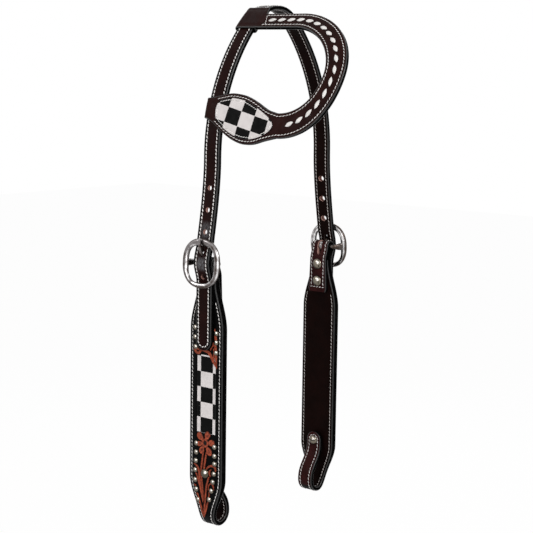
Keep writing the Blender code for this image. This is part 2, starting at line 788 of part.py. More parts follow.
def neck_rivets(side_name, side):
    """Two rivets through the neck: a domed cap inside and a flat head sunk in the face."""
    for place, drop in zip(("upper", "lower"), rivet_drops):
        data = bmesh.new()
        centre = (0, side * bar_offset, -bar_drop - drop)
        seat = tab_inner_depth + cheek_face_thickness + clearance
        head_floor = cheek_front - rivet_head_thickness
        profile = [(-cheek_front, rivet_head_radius), (-head_floor, rivet_head_radius),
                   (-head_floor, rivet_shank_radius), (seat, rivet_shank_radius)]
        profile += dome_profile(seat, rivet_cap_height, rivet_cap_radius)
        add_skin(data, turned(centre, (0, -side, 0), profile, 12))
        make_object(f"{side_name}_neck_rivet_{place}", data, nickel)


def screw_post(side_name, side):
    """The screw's post: a dome on the face and a bored barrel through the cheek and the tail."""
    centre = (0, side * bar_offset, -bar_drop - screw_drop)
    data = bmesh.new()
    seat = face_front(screw_drop - screw_dome_radius) + clearance
    end = -tail_back_depth + clearance
    bore_floor = seat - clearance
    thread_side = [(bore_floor, 0.1 * screw_bore_radius), (bore_floor, screw_bore_radius),
                   (end, screw_bore_radius), (end, screw_post_radius), (seat, screw_post_radius)]
    add_skin(data, turned(centre, (0, side, 0), thread_side + dome_profile(seat, screw_dome_height,
                                                                           screw_dome_radius), 12))
    return make_object(side_name + "_bit_screw_post", data, nickel)


def bit_screw(side_name, side):
    """The slotted screw that goes into the post from inside."""
    centre = (0, side * bar_offset, -bar_drop - screw_drop)
    data = bmesh.new()
    seat = tail_back_depth + clearance
    tip = 2 * clearance - face_front(screw_drop - screw_dome_radius)
    profile = [(tip, 0.5 * screw_shank_radius), (tip + clearance, screw_shank_radius),
               (seat, screw_shank_radius)]
    add_skin(data, turned(centre, (0, -side, 0), profile + dome_profile(seat, screw_dome_height,
                                                                        screw_dome_radius), 12))
    screw = make_object(side_name + "_bit_screw", data, nickel)
    floor = seat + screw_dome_height - screw_slot_depth
    slot = []
    for x in (-screw_dome_radius - cut_overrun, screw_dome_radius + cut_overrun):
        slot.append(flat_ring((x, side * (bar_offset - floor), -bar_drop - screw_drop), (0, 0, 1), (0, -side, 0),
                              -screw_slot_width / 2, screw_slot_width / 2, 0, screw_slot_depth + cut_overrun))
    cut(screw, [slot])
    place_origin(screw, centre)
    return screw


def frame_point(turn, half_width, half_height):
    """A point of the frame's outline, a square with very round corners."""
    cosine = math.cos(turn)
    sine = math.sin(turn)
    power = 2 / frame_squareness
    return (half_width * math.copysign(abs(cosine) ** power, cosine),
            half_height * math.copysign(abs(sine) ** power, sine))


def bar_path(half_width):
    """The bar's middle line as x and depth: straight in the fold, with ends bent out to the frame's sides."""
    straight = neck_tab_width / 2 + bar_end_gap
    end = half_width - frame_rim / 4
    bend = (end - straight) * 0.7
    right = [(straight, 0.0)]
    for point, _ in bezier((straight, 0.0), (bend, 0), (end, frame_stand), (0, frame_stand / 2), 8):
        right.append((point.x, point.y))
    return [(-x, depth) for x, depth in right[::-1]] + right


def buckle_frame(side_name, side):
    """The buckle's frame, which stands in front of its centre bar."""
    half_width = (frame_width - frame_rim) / 2
    half_height = (frame_height - frame_rim) / 2
    data = bmesh.new()
    count = 36
    small_turn = math.pi / count / 9
    rings = []
    for index in range(count):
        turn = 2 * math.pi * (index + 0.5) / count
        x, z = frame_point(turn, half_width, half_height)
        before = frame_point(turn - small_turn, half_width, half_height)
        after = frame_point(turn + small_turn, half_width, half_height)
        radial = Vector((after[1] - before[1], 0, before[0] - after[0])).normalized()
        stand = frame_stand - frame_lean * z / half_height
        centre = Vector((x, side * (bar_offset + stand), z - bar_drop))
        rings.append(round_ring(centre, radial, (0, side, 0), frame_rim / 2, frame_depth / 2, 8))
    add_skin(data, rings, closed=True)
    frame = make_object(side_name + "_buckle_frame", data, steel)
    bar_data = bmesh.new()
    path = bar_path(half_width)
    bar_rings = []
    for index, (x, depth) in enumerate(path):
        before = path[max(index - 1, 0)]
        after = path[min(index + 1, len(path) - 1)]
        across = Vector((before[1] - after[1], side * (after[0] - before[0]), 0)).normalized()
        centre = (x, side * (bar_offset + depth), -bar_drop)
        bar_rings.append(round_ring(centre, across, (0, 0, 1), bar_radius, bar_radius, 12))
    add_skin(bar_data, bar_rings)
    bar = make_object(side_name + "_buckle_bar_guide", bar_data, steel)
    bar.hide_render = True
    bar.display_type = "WIRE"
    union = frame.modifiers.new("bar", "BOOLEAN")
    union.operation = "UNION"
    union.solver = "EXACT"
    union.object = bar
    return frame


def tongue(side_name, side):
    """The buckle's tongue: a ring on the bar and an arm through the strap to the upper rim."""
    hub_inner = bar_radius + clearance
    hub_outer = fold_outer - clearance - edge_round
    half = tongue_hub_width / 2
    bar_centre = Vector((0, side * bar_offset, -bar_drop))
    data = bmesh.new()
    count = 16
    section = ((-half, hub_inner), (half, hub_inner), (half, hub_outer), (-half, hub_outer))
    rings = []
    for index in range(count):
        turn = 2 * math.pi * index / count
        out = Vector((0, side * math.cos(turn), math.sin(turn)))
        rings.append([bar_centre + Vector((x, 0, 0)) + out * radius for x, radius in section])
    add_skin(data, rings, closed=True)
    made = make_object(side_name + "_tongue", data, steel)
    rim_front = rim_stand + frame_depth / 2 + clearance + tongue_radius
    rim_top = frame_height / 2 + tongue_overhang
    root = (hub_inner + hub_outer) / 2 * math.sqrt(0.5)
    arm = [(root, root), (rim_front * 0.87, rim_front * 0.87), (rim_front, rim_front * 1.3), (rim_front, rim_top)]
    arm_data = bmesh.new()
    arm_rings = []
    path = []
    for start, end in zip(arm, arm[1:]):
        for step in range(4):
            path.append(Vector(start).lerp(Vector(end), step / 4))
    path.append(Vector(arm[-1]))
    eased = [path[0]] + [(a + b * 2 + c) / 4 for a, b, c in zip(path, path[1:], path[2:])] + [path[-1]]
    for index, point in enumerate(eased):
        slope = (eased[min(index + 1, len(eased) - 1)] - eased[max(index - 1, 0)]).normalized()
        taper = 0.6 if index == len(eased) - 1 else 1
        across = (0, side * -slope.y, slope.x)
        centre = bar_centre + Vector((0, side * point.x, point.y))
        arm_rings.append(round_ring(centre, (1, 0, 0), across, tongue_radius * taper, tongue_radius * taper, 8))
    add_skin(arm_data, arm_rings)
    arm_guide = make_object(side_name + "_tongue_arm_guide", arm_data, steel)
    arm_guide.hide_render = True
    arm_guide.display_type = "WIRE"
    union = made.modifiers.new("arm", "BOOLEAN")
    union.operation = "UNION"
    union.solver = "EXACT"
    union.object = arm_guide
    place_origin(made, bar_centre)
    return made


for side_name, side in SIDES:
    buckle_frame(side_name, side)
    tongue(side_name, side)
    cheek_pivot = (0, side * bar_offset, -bar_drop)
    for build in (cheek_face, cheek_lining, cheek_panel, cheek_spots, neck_rivets, screw_post):
        build(side_name, side)
    bit_screw(side_name, side)
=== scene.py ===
import math
from functools import partial
from itertools import accumulate

import bmesh
import bpy
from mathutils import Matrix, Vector


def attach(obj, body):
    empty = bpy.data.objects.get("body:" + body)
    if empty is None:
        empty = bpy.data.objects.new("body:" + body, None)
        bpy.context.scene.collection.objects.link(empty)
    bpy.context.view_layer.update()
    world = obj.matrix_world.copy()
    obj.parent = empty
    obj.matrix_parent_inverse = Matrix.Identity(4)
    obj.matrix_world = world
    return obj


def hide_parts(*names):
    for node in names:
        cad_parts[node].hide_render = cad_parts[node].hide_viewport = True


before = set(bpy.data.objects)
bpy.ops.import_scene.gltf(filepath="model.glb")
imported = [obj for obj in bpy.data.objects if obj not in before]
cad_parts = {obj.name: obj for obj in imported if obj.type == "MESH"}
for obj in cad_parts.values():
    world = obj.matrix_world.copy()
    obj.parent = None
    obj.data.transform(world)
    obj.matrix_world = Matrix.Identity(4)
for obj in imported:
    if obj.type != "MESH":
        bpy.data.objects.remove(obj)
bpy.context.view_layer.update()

# Camera: forward and to the right of the headstall, almost level with the buckles, as in the photograph.
# The headstall hangs in a white room, over a plain pale floor, between soft lamps.
camera_place = Vector((0.8243, -1.0044, -0.0441))
camera_azimuth = math.radians(39.44)
camera_elevation = math.radians(8.088)
camera_roll = math.radians(0.795)
photo_width = 533
focal_pixels = 1450.2
floor_height = -0.75
floor_reach = 5
room_light = 0.5
floor_seen = 0.965

backward = Vector((math.sin(camera_azimuth) * math.cos(camera_elevation),
                   -math.cos(camera_azimuth) * math.cos(camera_elevation), math.sin(camera_elevation)))
level = Vector((math.cos(camera_azimuth), math.sin(camera_azimuth), 0))
upright = backward.cross(level)
camera_right = level * math.cos(camera_roll) + upright * math.sin(camera_roll)
camera_up = upright * math.cos(camera_roll) - level * math.sin(camera_roll)
camera = bpy.data.objects.new("camera", bpy.data.cameras.new("camera"))
camera.data.sensor_width = 36
camera.data.lens = focal_pixels / photo_width * camera.data.sensor_width
bpy.context.scene.collection.objects.link(camera)
for row in range(3):
    for column, axis in enumerate((camera_right, camera_up, backward)):
        camera.matrix_world[row][column] = axis[row]
camera.location = camera_place
bpy.context.scene.camera = camera
bpy.context.scene.view_settings.view_transform = "Standard"


def fill(tree, made, values):
    """Give a node's inputs their values, each a value of its own or another node's output."""
    for key, value in values.items():
        if isinstance(value, bpy.types.NodeSocket):
            tree.links.new(value, made.inputs[key])
        else:
            made.inputs[key].default_value = value
    return made


def make(tree, kind, values=None, **choices):
    """A new node, with its choices made and its inputs filled."""
    made = tree.nodes.new(kind)
    for choice, value in choices.items():
        setattr(made, choice, value)
    return fill(tree, made, values or {})


def both(tree, operation, first, second=0.0):
    """Two values put together, each a number or a socket."""
    return make(tree, "ShaderNodeMath", {0: first, 1: second}, operation=operation).outputs[0]


def pale_light(tree, seen, unseen):
    """A number that is one value for what the camera and mirrors see, and another for what lights the object."""
    rays = make(tree, "ShaderNodeLightPath").outputs
    either = both(tree, "MAXIMUM", rays["Is Camera Ray"], rays["Is Glossy Ray"])
    any_of = both(tree, "MAXIMUM", either, rays["Is Transmission Ray"])
    return make(tree, "ShaderNodeMapRange", {"Value": any_of, "To Min": unseen, "To Max": seen}).outputs["Result"]


room = bpy.data.worlds.new("white_room")
room.use_nodes = True
fill(room.node_tree, room.node_tree.nodes["Background"],
     {"Color": (1, 1, 1, 1), "Strength": pale_light(room.node_tree, 1.0, room_light)})
bpy.context.scene.world = room

floor_paint = bpy.data.materials.new("pale_floor")
floor_paint.use_nodes = True
floor_tree = floor_paint.node_tree
floor_shader = fill(floor_tree, floor_tree.nodes["Principled BSDF"],
                    {"Base Color": (0.9, 0.9, 0.9, 1), "Roughness": 0.9, "Specular IOR Level": 0.1})
floor_glow = make(floor_tree, "ShaderNodeEmission")
floor_mix = make(floor_tree, "ShaderNodeMixShader", {"Fac": pale_light(floor_tree, floor_seen, 0.0),
                                                     1: floor_shader.outputs[0], 2: floor_glow.outputs[0]})
fill(floor_tree, floor_tree.nodes["Material Output"], {"Surface": floor_mix.outputs[0]})
floor_mesh = bpy.data.meshes.new("floor")
floor_mesh.from_pydata([(x * floor_reach, y * floor_reach, floor_height)
                        for x, y in ((-1, -1), (1, -1), (1, 1), (-1, 1))], [], [(0, 1, 2, 3)])
floor_mesh.materials.append(floor_paint)
floor = bpy.data.objects.new("floor", floor_mesh)
bpy.context.scene.collection.objects.link(floor)

object_middle = Vector((0.02, 0, -0.22))
for lamp_name, lamp_place, lamp_size, lamp_power in (
        ("key_lamp", camera_place + camera_right * 0.75 + camera_up * 0.75, 0.7, 15),
        ("fill_lamp", camera_place - camera_right * 1.1 + camera_up * 0.1, 0.9, 6),
        ("back_lamp", Vector((-0.7, 1.3, 0.5)), 0.9, 8),
        ("side_lamp", Vector((-0.88, -1.08, 0.32)), 0.35, 2.5)):
    lamp_data = bpy.data.lights.new(lamp_name, "AREA")
    lamp_data.size = lamp_size
    lamp_data.energy = lamp_power
    lamp = bpy.data.objects.new(lamp_name, lamp_data)
    lamp.location = lamp_place
    lamp.rotation_euler = (object_middle - lamp_place).to_track_quat("-Z", "Y").to_euler()
    bpy.context.scene.collection.objects.link(lamp)

# Crown strap: a dark brown face and a nearly black lining of bridle leather, glued, sewn down both edges,
# edge-painted black and punched with buckle holes at both ends. It is bent over the poll and hangs down.
strap_half_width = 0.0087
lining_thickness = 0.0018
strap_thickness = 0.0038
seam_gap = 0.00004
working_gap = 0.0003
poll_flat = 0.003
poll_radius = 0.0301
side_radius = 0.1611
shoulder_angle = math.radians(42)
side_centre_width = poll_flat / 2 - (side_radius - poll_radius) * math.sin(shoulder_angle)
side_centre_drop = poll_radius + (side_radius - poll_radius) * math.cos(shoulder_angle)
bar_offset = 0.0815
bar_drop = 0.217
bar_radius = 0.002
frame_height = 0.0428
frame_rim = 0.0064
frame_depth = 0.0034
frame_stand = 0.0088
frame_lean = 0.0011
cheek_front = 0.0016
fold_radius = 0.0023
fold_outer = 0.0053
hole_pitch = 0.01905
hole_radius = 0.0022
hole_reach = 0.006
hole_steps = 28
first_hole_rise = 0.028
back_hole_spread = 0.0009
tongue_hole_rise = 0.0077
tongue_hole_half = 0.00185
tongue_hole_reach = 0.0044
tongue_hole_slant = 0.0012
billet_length = 0.0845
strap_tip_length = 0.0085
strap_seam_inset = 0.0031
crown_brown = (0.0105, 0.0024, 0.0019)
lining_brown = (0.0050, 0.0014, 0.0010)
edge_black = (0.0014, 0.0013, 0.0013)
raw_pink = (0.52, 0.30, 0.25)
tongue_hole_brown = (0.045, 0.022, 0.017)
# Grey of the painted highlight on the crown strap's bulge over each buckle's bar.
bulge_highlight_grey = (0.125, 0.125, 0.130)
# Grey of the painted highlight along every leather edge.
edge_highlight_grey = (0.085, 0.08, 0.08)
edge_round = 0.0008
seam_depth = 0.0002
seam_width = 0.0006
# The steps round a layer's cut end, counted from its left corner, that its rubbed corners and its sides take up.
corner_steps = (0, 1, 2, 15, 16, 17)
side_steps = (18, 19, 24, 25)


def bezier_points(start, start_handle, end, end_handle, steps):
    """Points and unit tangents of a cubic from start to end, the start left out."""
    p0 = Vector(start)
    p3 = Vector(end)
    p1 = p0 + Vector(start_handle)
    p2 = p3 - Vector(end_handle)
    found = []
    for step in range(1, steps + 1):
        t = step / steps
        point = p0 * (1 - t) ** 3 + p1 * 3 * t * (1 - t) ** 2 + p2 * 3 * t * t * (1 - t) + p3 * t ** 3
        slope = (p1 - p0) * (1 - t) ** 2 + (p2 - p1) * 2 * t * (1 - t) + (p3 - p2) * t * t
        found.append((point, slope.normalized()))
    return found


def cut_end(half, inner, outer, faces_out, seam_inset):
    """A layer's cut end: across, height and distance in from the edge, the grain side first, then the back."""
    thick = outer - inner
    soft = min(edge_round, half * 0.4, thick * 0.42)
    squeeze = min(1, half / (seam_inset * 1.7))
    inset = seam_inset * squeeze
    spread = seam_width * squeeze
    left = [(-half + soft * (1 - math.cos(turn)), soft * (1 - math.sin(turn)))
            for turn in (0, math.pi / 6, math.pi / 3, math.pi / 2)]
    left += [(-half + inset - spread, 0), (-half + inset, seam_depth * squeeze), (-half + inset + spread, 0)]
    flat = half - inset - spread
    middle = [(flat * share, 0) for share in (-0.66, -0.33, 0, 0.33, 0.66)]
    grain = left + middle + [(-a, depth) for a, depth in left[::-1]]
    small = soft * 0.2
    back = [(half, thick - small), (half - small, thick), (flat * 0.5, thick), (0, thick), (-flat * 0.5, thick),
            (-half + small, thick), (-half, thick - small)]
    found = [(a, depth, half - abs(a) - depth) for a, depth in grain] + [(a, depth, -thick) for a, depth in back]
    return [(a, outer - depth if faces_out else inner + depth, rim) for a, depth, rim in found]


def unbent(point):
    """A place that needs no bending."""
    return point


def tube_faces(rings, count, base=0, closed=False):
    """Faces of a skin over rings of points, with a cap at both ends unless the rings close on themselves."""
    faces = []
    for ring in range(rings if closed else rings - 1):
        here, there = base + ring * count, base + (ring + 1) % rings * count
        faces += [(here + i, here + (i + 1) % count, there + (i + 1) % count, there + i) for i in range(count)]
    if not closed:
        last = base + (rings - 1) * count
        faces += [tuple(range(base, base + count))[::-1], tuple(range(last, last + count))]
    return faces


def skin_over(name, points, faces, maps, surface):
    """A piece from points and faces, with layout maps that each hold a pair of numbers for every point."""
    mesh = bpy.data.meshes.new(name)
    mesh.from_pydata(points, [], faces)
    for map_name, pairs in maps.items():
        layer = mesh.uv_layers.new(name=map_name)
        if pairs:
            for loop in mesh.loops:
                layer.data[loop.index].uv = pairs[loop.vertex_index]
    return finished(name, mesh, surface)


def hide_from_stations(name, stations, bend, faces_out, seam_inset, surface):
    """One layer of leather, laid from station to station: centre, across, outward, half width, inner, outer."""
    points = []
    lay = []
    rims = []
    walked = 0
    for index, (centre, across, outward, half, inner, outer) in enumerate(stations):
        if index:
            walked += (centre - stations[index - 1][0]).length
        for a, height, rim in cut_end(half, inner, outer, faces_out, seam_inset):
            points.append(bend(centre + across * a + outward * height))
            lay.append((a, walked))
            rims.append((rim, 1 if rim > -0.0009 else 0))
    count = len(points) // len(stations)
    piece = skin_over(name, points, tube_faces(len(stations), count), {"lay": lay, "rim": rims}, surface)
    for slot, (steps, finish) in enumerate(((corner_steps, corner_finish), (side_steps, side_finish)), 1):
        piece.data.materials.append(finish)
        for ring in range(len(stations) - 1):
            for i in steps:
                piece.data.polygons[ring * count + i].material_index = slot
    return piece


def finished(name, mesh, surface):
    """Link a mesh as a piece with one material, faces pointing out and smooth shading."""
    work = bmesh.new()
    work.from_mesh(mesh)
    bmesh.ops.recalc_face_normals(work, faces=work.faces)
    work.to_mesh(mesh)
    work.free()
    mesh.materials.append(surface)
    mesh.shade_smooth()
    mesh.set_sharp_from_angle(angle=math.radians(50))
    piece = bpy.data.objects.new(name, mesh)
    bpy.context.scene.collection.objects.link(piece)
    return piece


def applied(piece):
    """Turn a piece with live modifiers into a plain mesh."""
    solid = bpy.data.meshes.new_from_object(piece.evaluated_get(bpy.context.evaluated_depsgraph_get()))
    piece.modifiers.clear()
    piece.data = solid
    solid.set_sharp_from_angle(angle=math.radians(50))
    return piece


def cut_away(piece, cutter, materials="TRANSFER"):
    """Take a cutter's shape out of a piece, and the cutter out of the scene."""
    cutting = piece.modifiers.new("cut", "BOOLEAN")
    cutting.operation = "DIFFERENCE"
    cutting.solver = "EXACT"
    cutting.material_mode = materials
    cutting.object = cutter
    applied(piece)
    bpy.data.objects.remove(cutter)


def punched(piece, holes, surface):
    """Cut oval holes through a piece: centre, direction, long direction, half width, half length, reach."""
    points = []
    faces = []
    for centre, direction, along, half_width, half_length, reach in holes:
        sideways = direction.cross(along).normalized()
        faces += tube_faces(2, hole_steps, len(points))
        for end in (-reach, reach):
            for i in range(hole_steps):
                turn = 2 * math.pi * i / hole_steps
                points.append(centre + direction * end + sideways * half_width * math.cos(turn)
                              + along * half_length * math.sin(turn))
    cut_away(piece, skin_over(piece.name + "_punch", points, faces, {"lay": None, "rim": None}, surface))


def blank_finish(name):
    """A new material, its node tree, its shader and the object's own coordinates in it."""
    made = bpy.data.materials.new(name)
    made.use_nodes = True
    tree = made.node_tree
    return made, tree, tree.nodes["Principled BSDF"], make(tree, "ShaderNodeTexCoord").outputs["Object"]


def map_parts(tree, name):
    """The two numbers that a layout map holds, as the sockets X and Y."""
    where = make(tree, "ShaderNodeUVMap", uv_map=name).outputs[0]
    return make(tree, "ShaderNodeSeparateXYZ", {0: where}).outputs


def noise(tree, place, scale, detail=4, rough=0.55):
    """Noise at a scale per metre, by the object's own coordinates."""
    return make(tree, "ShaderNodeTexNoise", {"Scale": scale, "Detail": detail, "Roughness": rough,
                                             "Vector": place}).outputs["Fac"]


def ranged(tree, value, low, high, to_low=0.0, to_high=1.0):
    """A value spread smoothly from one range to another."""
    return make(tree, "ShaderNodeMapRange", {"From Min": low, "From Max": high, "To Min": to_low, "To Max": to_high,
                                             "Value": value}, interpolation_type="SMOOTHSTEP").outputs["Result"]


def mixed(tree, share, first, second, blend="MIX"):
    """A blend of two colours, each a colour or a socket."""
    first, second = ((*colour, 1) if isinstance(colour, tuple) else colour for colour in (first, second))
    return make(tree, "ShaderNodeMix", {"Factor": share, 6: first, 7: second}, data_type="RGBA",
                blend_type=blend).outputs[2]


def bumped(tree, shader, height, strength, distance, below=None):
    """Raise a surface by a height, over another bump if there is one."""
    values = {"Strength": strength, "Distance": distance, "Height": height}
    if below:
        values["Normal"] = below
    raised = make(tree, "ShaderNodeBump", values).outputs["Normal"]
    fill(tree, shader, {"Normal": raised})
    return raised


def scaled(colour, share):
    """A colour made lighter or darker."""
    return tuple(min(1, part * share) for part in colour)


def burnished(name, shine):
    """A strap's corner or side: painted black, rubbed to more or less of a gloss, its fibres faintly showing."""
    made, tree, shader, place = blank_finish(name)
    worn = noise(tree, place, 340, 4, 0.6)
    fill(tree, shader, {
        "Base Color": mixed(tree, ranged(tree, worn, 0.45, 0.75), edge_black, scaled(edge_black, 5)),
        "Roughness": ranged(tree, worn, 0.3, 0.7, 0.24, 0.42), "Specular IOR Level": shine})
    bumped(tree, shader, noise(tree, place, 1300, 4), 0.3, 0.0001,
           bumped(tree, shader, noise(tree, place, 260, 3), 0.25, 0.0004))
    return made


def tanned(name, colour, bands=(), gloss=0.42, border=0.0003, shine=0.035):
    """Bridle leather: fine pebbled grain, cloudy dye, soft creases, a painted border, and a painted highlight: a grey
    line just inside each edge, broken up by noise, standing in for the gloss of the rounded corner.
    Other colours may take over along the piece, each from one distance to another."""
    made, tree, shader, place = blank_finish(name)
    along = map_parts(tree, "lay")["Y"]
    from_edge = map_parts(tree, "rim")["X"]
    dye = colour if bands else scaled(colour, 1.35)
    for first, last, other in bands:
        dye = mixed(tree, ranged(tree, along, first, last), dye, other)
    cloud = mixed(tree, ranged(tree, noise(tree, place, 70, 5), 0.3, 0.75), (0.55, 0.55, 0.55), (1, 1, 1))
    pebble = make(tree, "ShaderNodeTexVoronoi", {"Scale": 1500, "Randomness": 0.9, "Vector": place}).outputs["Distance"]
    skin = mixed(tree, ranged(tree, pebble, 0.55, 0.9, 0, 0.5), mixed(tree, 1, dye, cloud, "MULTIPLY"), edge_black)
    border_and_highlight_noise = noise(tree, place, 420, 3)
    ragged = both(tree, "ADD", from_edge, ranged(tree, border_and_highlight_noise, 0.3, 0.7, -0.00015, 0.00015))
    skin = mixed(tree, ranged(tree, ragged, border, border + 0.0007, 1, 0), skin, edge_black)
    # Painted highlight: a grey line just inside each edge, broken up by noise, standing in for the gloss on the rounded
    # corner.
    rubbed = both(tree, "MULTIPLY", ranged(tree, from_edge, -0.0001, 0.0005, 0, 1),
                  ranged(tree, from_edge, 0.0005, 0.0014, 1, 0))
    rubbed = both(tree, "MULTIPLY", rubbed, ranged(tree, border_and_highlight_noise, 0.45, 0.7, 0, 0.5))
    fill(tree, shader, {
        "Base Color": mixed(tree, rubbed, skin, edge_highlight_grey), "Specular IOR Level": shine,
        "Roughness": ranged(tree, noise(tree, place, 130, 3), 0.3, 0.7, gloss - 0.07, gloss + 0.12)})
    creases = bumped(tree, shader, noise(tree, place, 210, 4, 0.6), 0.25, 0.0004)
    bumped(tree, shader, pebble, 0.22, 0.00018, creases)
    return made


def rawhide_wall(name, colour):
    """Undyed leather seen inside a punched hole: pale, fibrous and dull."""
    made, tree, shader, place = blank_finish(name)
    fibre = noise(tree, place, 1600, 5, 0.7)
    fill(tree, shader, {"Base Color": mixed(tree, ranged(tree, fibre, 0.3, 0.7), scaled(colour, 0.6), colour),
                        "Roughness": 0.85})
    bumped(tree, shader, fibre, 0.5, 0.0002)
    return made


across_x = Vector((1, 0, 0))
strap_path = [(poll_flat / 2 * share, 0.0, 0.0, 1.0) for share in (0, 1)]
for step in range(1, 25):
    angle = shoulder_angle * step / 24
    strap_path.append((poll_flat / 2 + poll_radius * math.sin(angle), poll_radius * (math.cos(angle) - 1),
                       math.sin(angle), math.cos(angle)))
for step in range(1, 71):
    angle = shoulder_angle + (math.pi / 2 - shoulder_angle) * step / 70
    strap_path.append((side_centre_width + side_radius * math.sin(angle),
                       side_radius * math.cos(angle) - side_centre_drop, math.sin(angle), math.cos(angle)))
rim_reach = frame_height / 2 - frame_rim / 2
rim_stand = frame_stand - frame_lean
above_rim = (bar_offset + rim_stand - frame_depth / 2 - 2 * working_gap - strap_thickness, -bar_drop + rim_reach)
over_bar = (bar_offset + fold_outer + working_gap, -bar_drop)
below_bar = (bar_offset + cheek_front + working_gap, -bar_drop - rim_reach)
straight = rim_reach / 3
run_down = bezier_points(strap_path[-1][:2], (0, -rim_reach * 1.6), above_rim, (straight * 0.12, -straight), 22)
run_down += bezier_points(above_rim, (straight * 0.12, -straight), over_bar, (0, -straight), 14)
run_down += bezier_points(over_bar, (0, -straight), below_bar, (0, -straight * 1.4), 14)
strap_path += [(point.x, point.y, -slope.y, slope.x) for point, slope in run_down]


strap_reached = [0.0, *accumulate(math.dist(first[:2], second[:2])
                                  for first, second in zip(strap_path, strap_path[1:]))]
bar_at = next(d for d, p in zip(strap_reached, strap_path) if p[1] <= -bar_drop + 0.0005)
tongue_hole_at = bar_at - tongue_hole_rise
tip_height = strap_path[-1][1] - (billet_length - (strap_reached[-1] - tongue_hole_at))
seat = strap_path[-1][0]
tip_start = tip_height + strap_tip_length


def crown_stations(inner, outer):
    """Stations of one layer of the crown strap, from the right tip over the poll to the left tip."""
    half = [(w, z, nw, nz, strap_half_width) for w, z, nw, nz in strap_path]
    straight_end = half[-1][1]
    half += [(seat, straight_end + (tip_start - straight_end) * step / 12, 1, 0, strap_half_width)
             for step in range(1, 13)]
    for step in range(1, 16):
        turn = math.pi / 2 * step / 15.6
        half.append((seat, tip_start - strap_tip_length * math.sin(turn), 1, 0, strap_half_width * math.cos(turn)))
    found = []
    for side in (-1, 1):
        for w, z, nw, nz, half_width in (half[::-1] if side < 0 else half[1:]):
            found.append((Vector((0, side * w, z)), across_x, Vector((0, side * nw, nz)), half_width,
                          inner, outer))
    return found


def strap_place(distance):
    """Width, height and outward direction on the strap's path, a distance from the crown's middle."""
    for i in range(len(strap_reached) - 1):
        if strap_reached[i + 1] >= distance:
            share = (distance - strap_reached[i]) / (strap_reached[i + 1] - strap_reached[i])
            return [a + (b - a) * share for a, b in zip(strap_path[i], strap_path[i + 1])]
    return list(strap_path[-1])


def station_lengths(stations):
    """Distance of each station from the first."""
    reached = [0.0]
    for first, second in zip(stations, stations[1:]):
        reached.append(reached[-1] + (second[0] - first[0]).length)
    return reached


def painted_bulge_highlight(made, middle):
    """Painted highlight: pale grey streaks on the crown strap's face where it bulges out over each buckle's bar,
    fainter round the first hole above it, standing in for the sheen of the leather there.
    """
    tree = made.node_tree
    shader = tree.nodes["Principled BSDF"]
    skin = shader.inputs["Base Color"].links[0].from_socket
    lay = map_parts(tree, "lay")

    def away(value, goal):
        """How far a value is from a goal."""
        return both(tree, "ABSOLUTE", both(tree, "SUBTRACT", value, goal))

    from_bar = both(tree, "SUBTRACT", away(lay["Y"], middle), bar_at + 0.0005)
    near = both(tree, "MAXIMUM", ranged(tree, away(from_bar, 0), 0.001, 0.0065, 1, 0),
                ranged(tree, away(from_bar, -first_hole_rise), 0.004, 0.010, 0.6, 0))
    inside = ranged(tree, away(lay["X"], 0), 0.003, 0.0056, 1, 0)
    place = make(tree, "ShaderNodeTexCoord").outputs["Object"]
    drawn_out = make(tree, "ShaderNodeMapping", {"Vector": place, "Scale": (1, 0.3, 0.3)}).outputs[0]
    streaks = ranged(tree, noise(tree, drawn_out, 1300, 4, 0.65), 0.32, 0.62)
    pale = both(tree, "MULTIPLY", both(tree, "MULTIPLY", near, inside), streaks)
    fill(tree, shader, {"Base Color": mixed(tree, pale, skin, bulge_highlight_grey)})


crown_holes = {"crown_face": [], "crown_lining": []}
tongue_holes = {"crown_face": [], "crown_lining": []}
for side in (-1, 1):
    for index in range(-3, 2):
        w, z, nw, nz = strap_place(tongue_hole_at + index * hole_pitch)
        outward = Vector((0, side * nw, nz)).normalized()
        along = outward.cross(across_x).normalized()
        along = along if along.z > 0 else -along
        for name, spread, slant in (("crown_face", 0, 1), ("crown_lining", back_hole_spread, -1)):
            shift = along * (tongue_hole_slant * slant if index == 0 else 0)
            reach = tongue_hole_reach if index == 0 else hole_radius + spread / 2
            row, half = (tongue_holes, tongue_hole_half) if index == 0 else (crown_holes, hole_radius)
            row[name].append((Vector((0, side * w, z)) + shift, outward, along, half + spread, reach, hole_reach))
corner_finish = burnished("rubbed_leather_corner", 0.45)
side_finish = burnished("burnished_leather_side", 0)
crown_finish = tanned("crown_brown_leather", crown_brown, border=0.0021)
lining_finish = tanned("dark_lining_leather", lining_brown, gloss=0.5, shine=0.02)
hole_finish = rawhide_wall("raw_hole_edge", raw_pink)
# The tongue holes' walls are dark brown rather than the other holes' pink.
tongue_hole_finish = rawhide_wall("tongue_hole_edge", tongue_hole_brown)
crown_layers = {"crown_face": crown_stations(lining_thickness + seam_gap, strap_thickness),
                "crown_lining": crown_stations(0, lining_thickness)}
# Painted highlight on the crown strap's face over each buckle's bar.
painted_bulge_highlight(crown_finish, station_lengths(crown_layers["crown_face"])[-1] / 2)
for name, faces_out, finish, slot in (("crown_face", True, crown_finish, "brown_leather"),
                                      ("crown_lining", False, lining_finish, "dark_lining")):
    layer = hide_from_stations("sewn_" + name, crown_layers[name], unbent, faces_out, strap_seam_inset, finish)
    punched(layer, crown_holes[name], hole_finish)
    punched(layer, tongue_holes[name], tongue_hole_finish)
    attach(layer, "headstall")
    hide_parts(name)

# Saddle stitching: waxed off-white thread in two rows, one stitch every 3.3 mm, each lying a little slanted
# in the pressed groove and dipping into its awl holes at both ends.
stitch_pitch = 0.0033
stitch_length = 0.0027
thread_radius = 0.0004
stitch_slant = math.radians(11)
thread_white = (0.80, 0.775, 0.75)
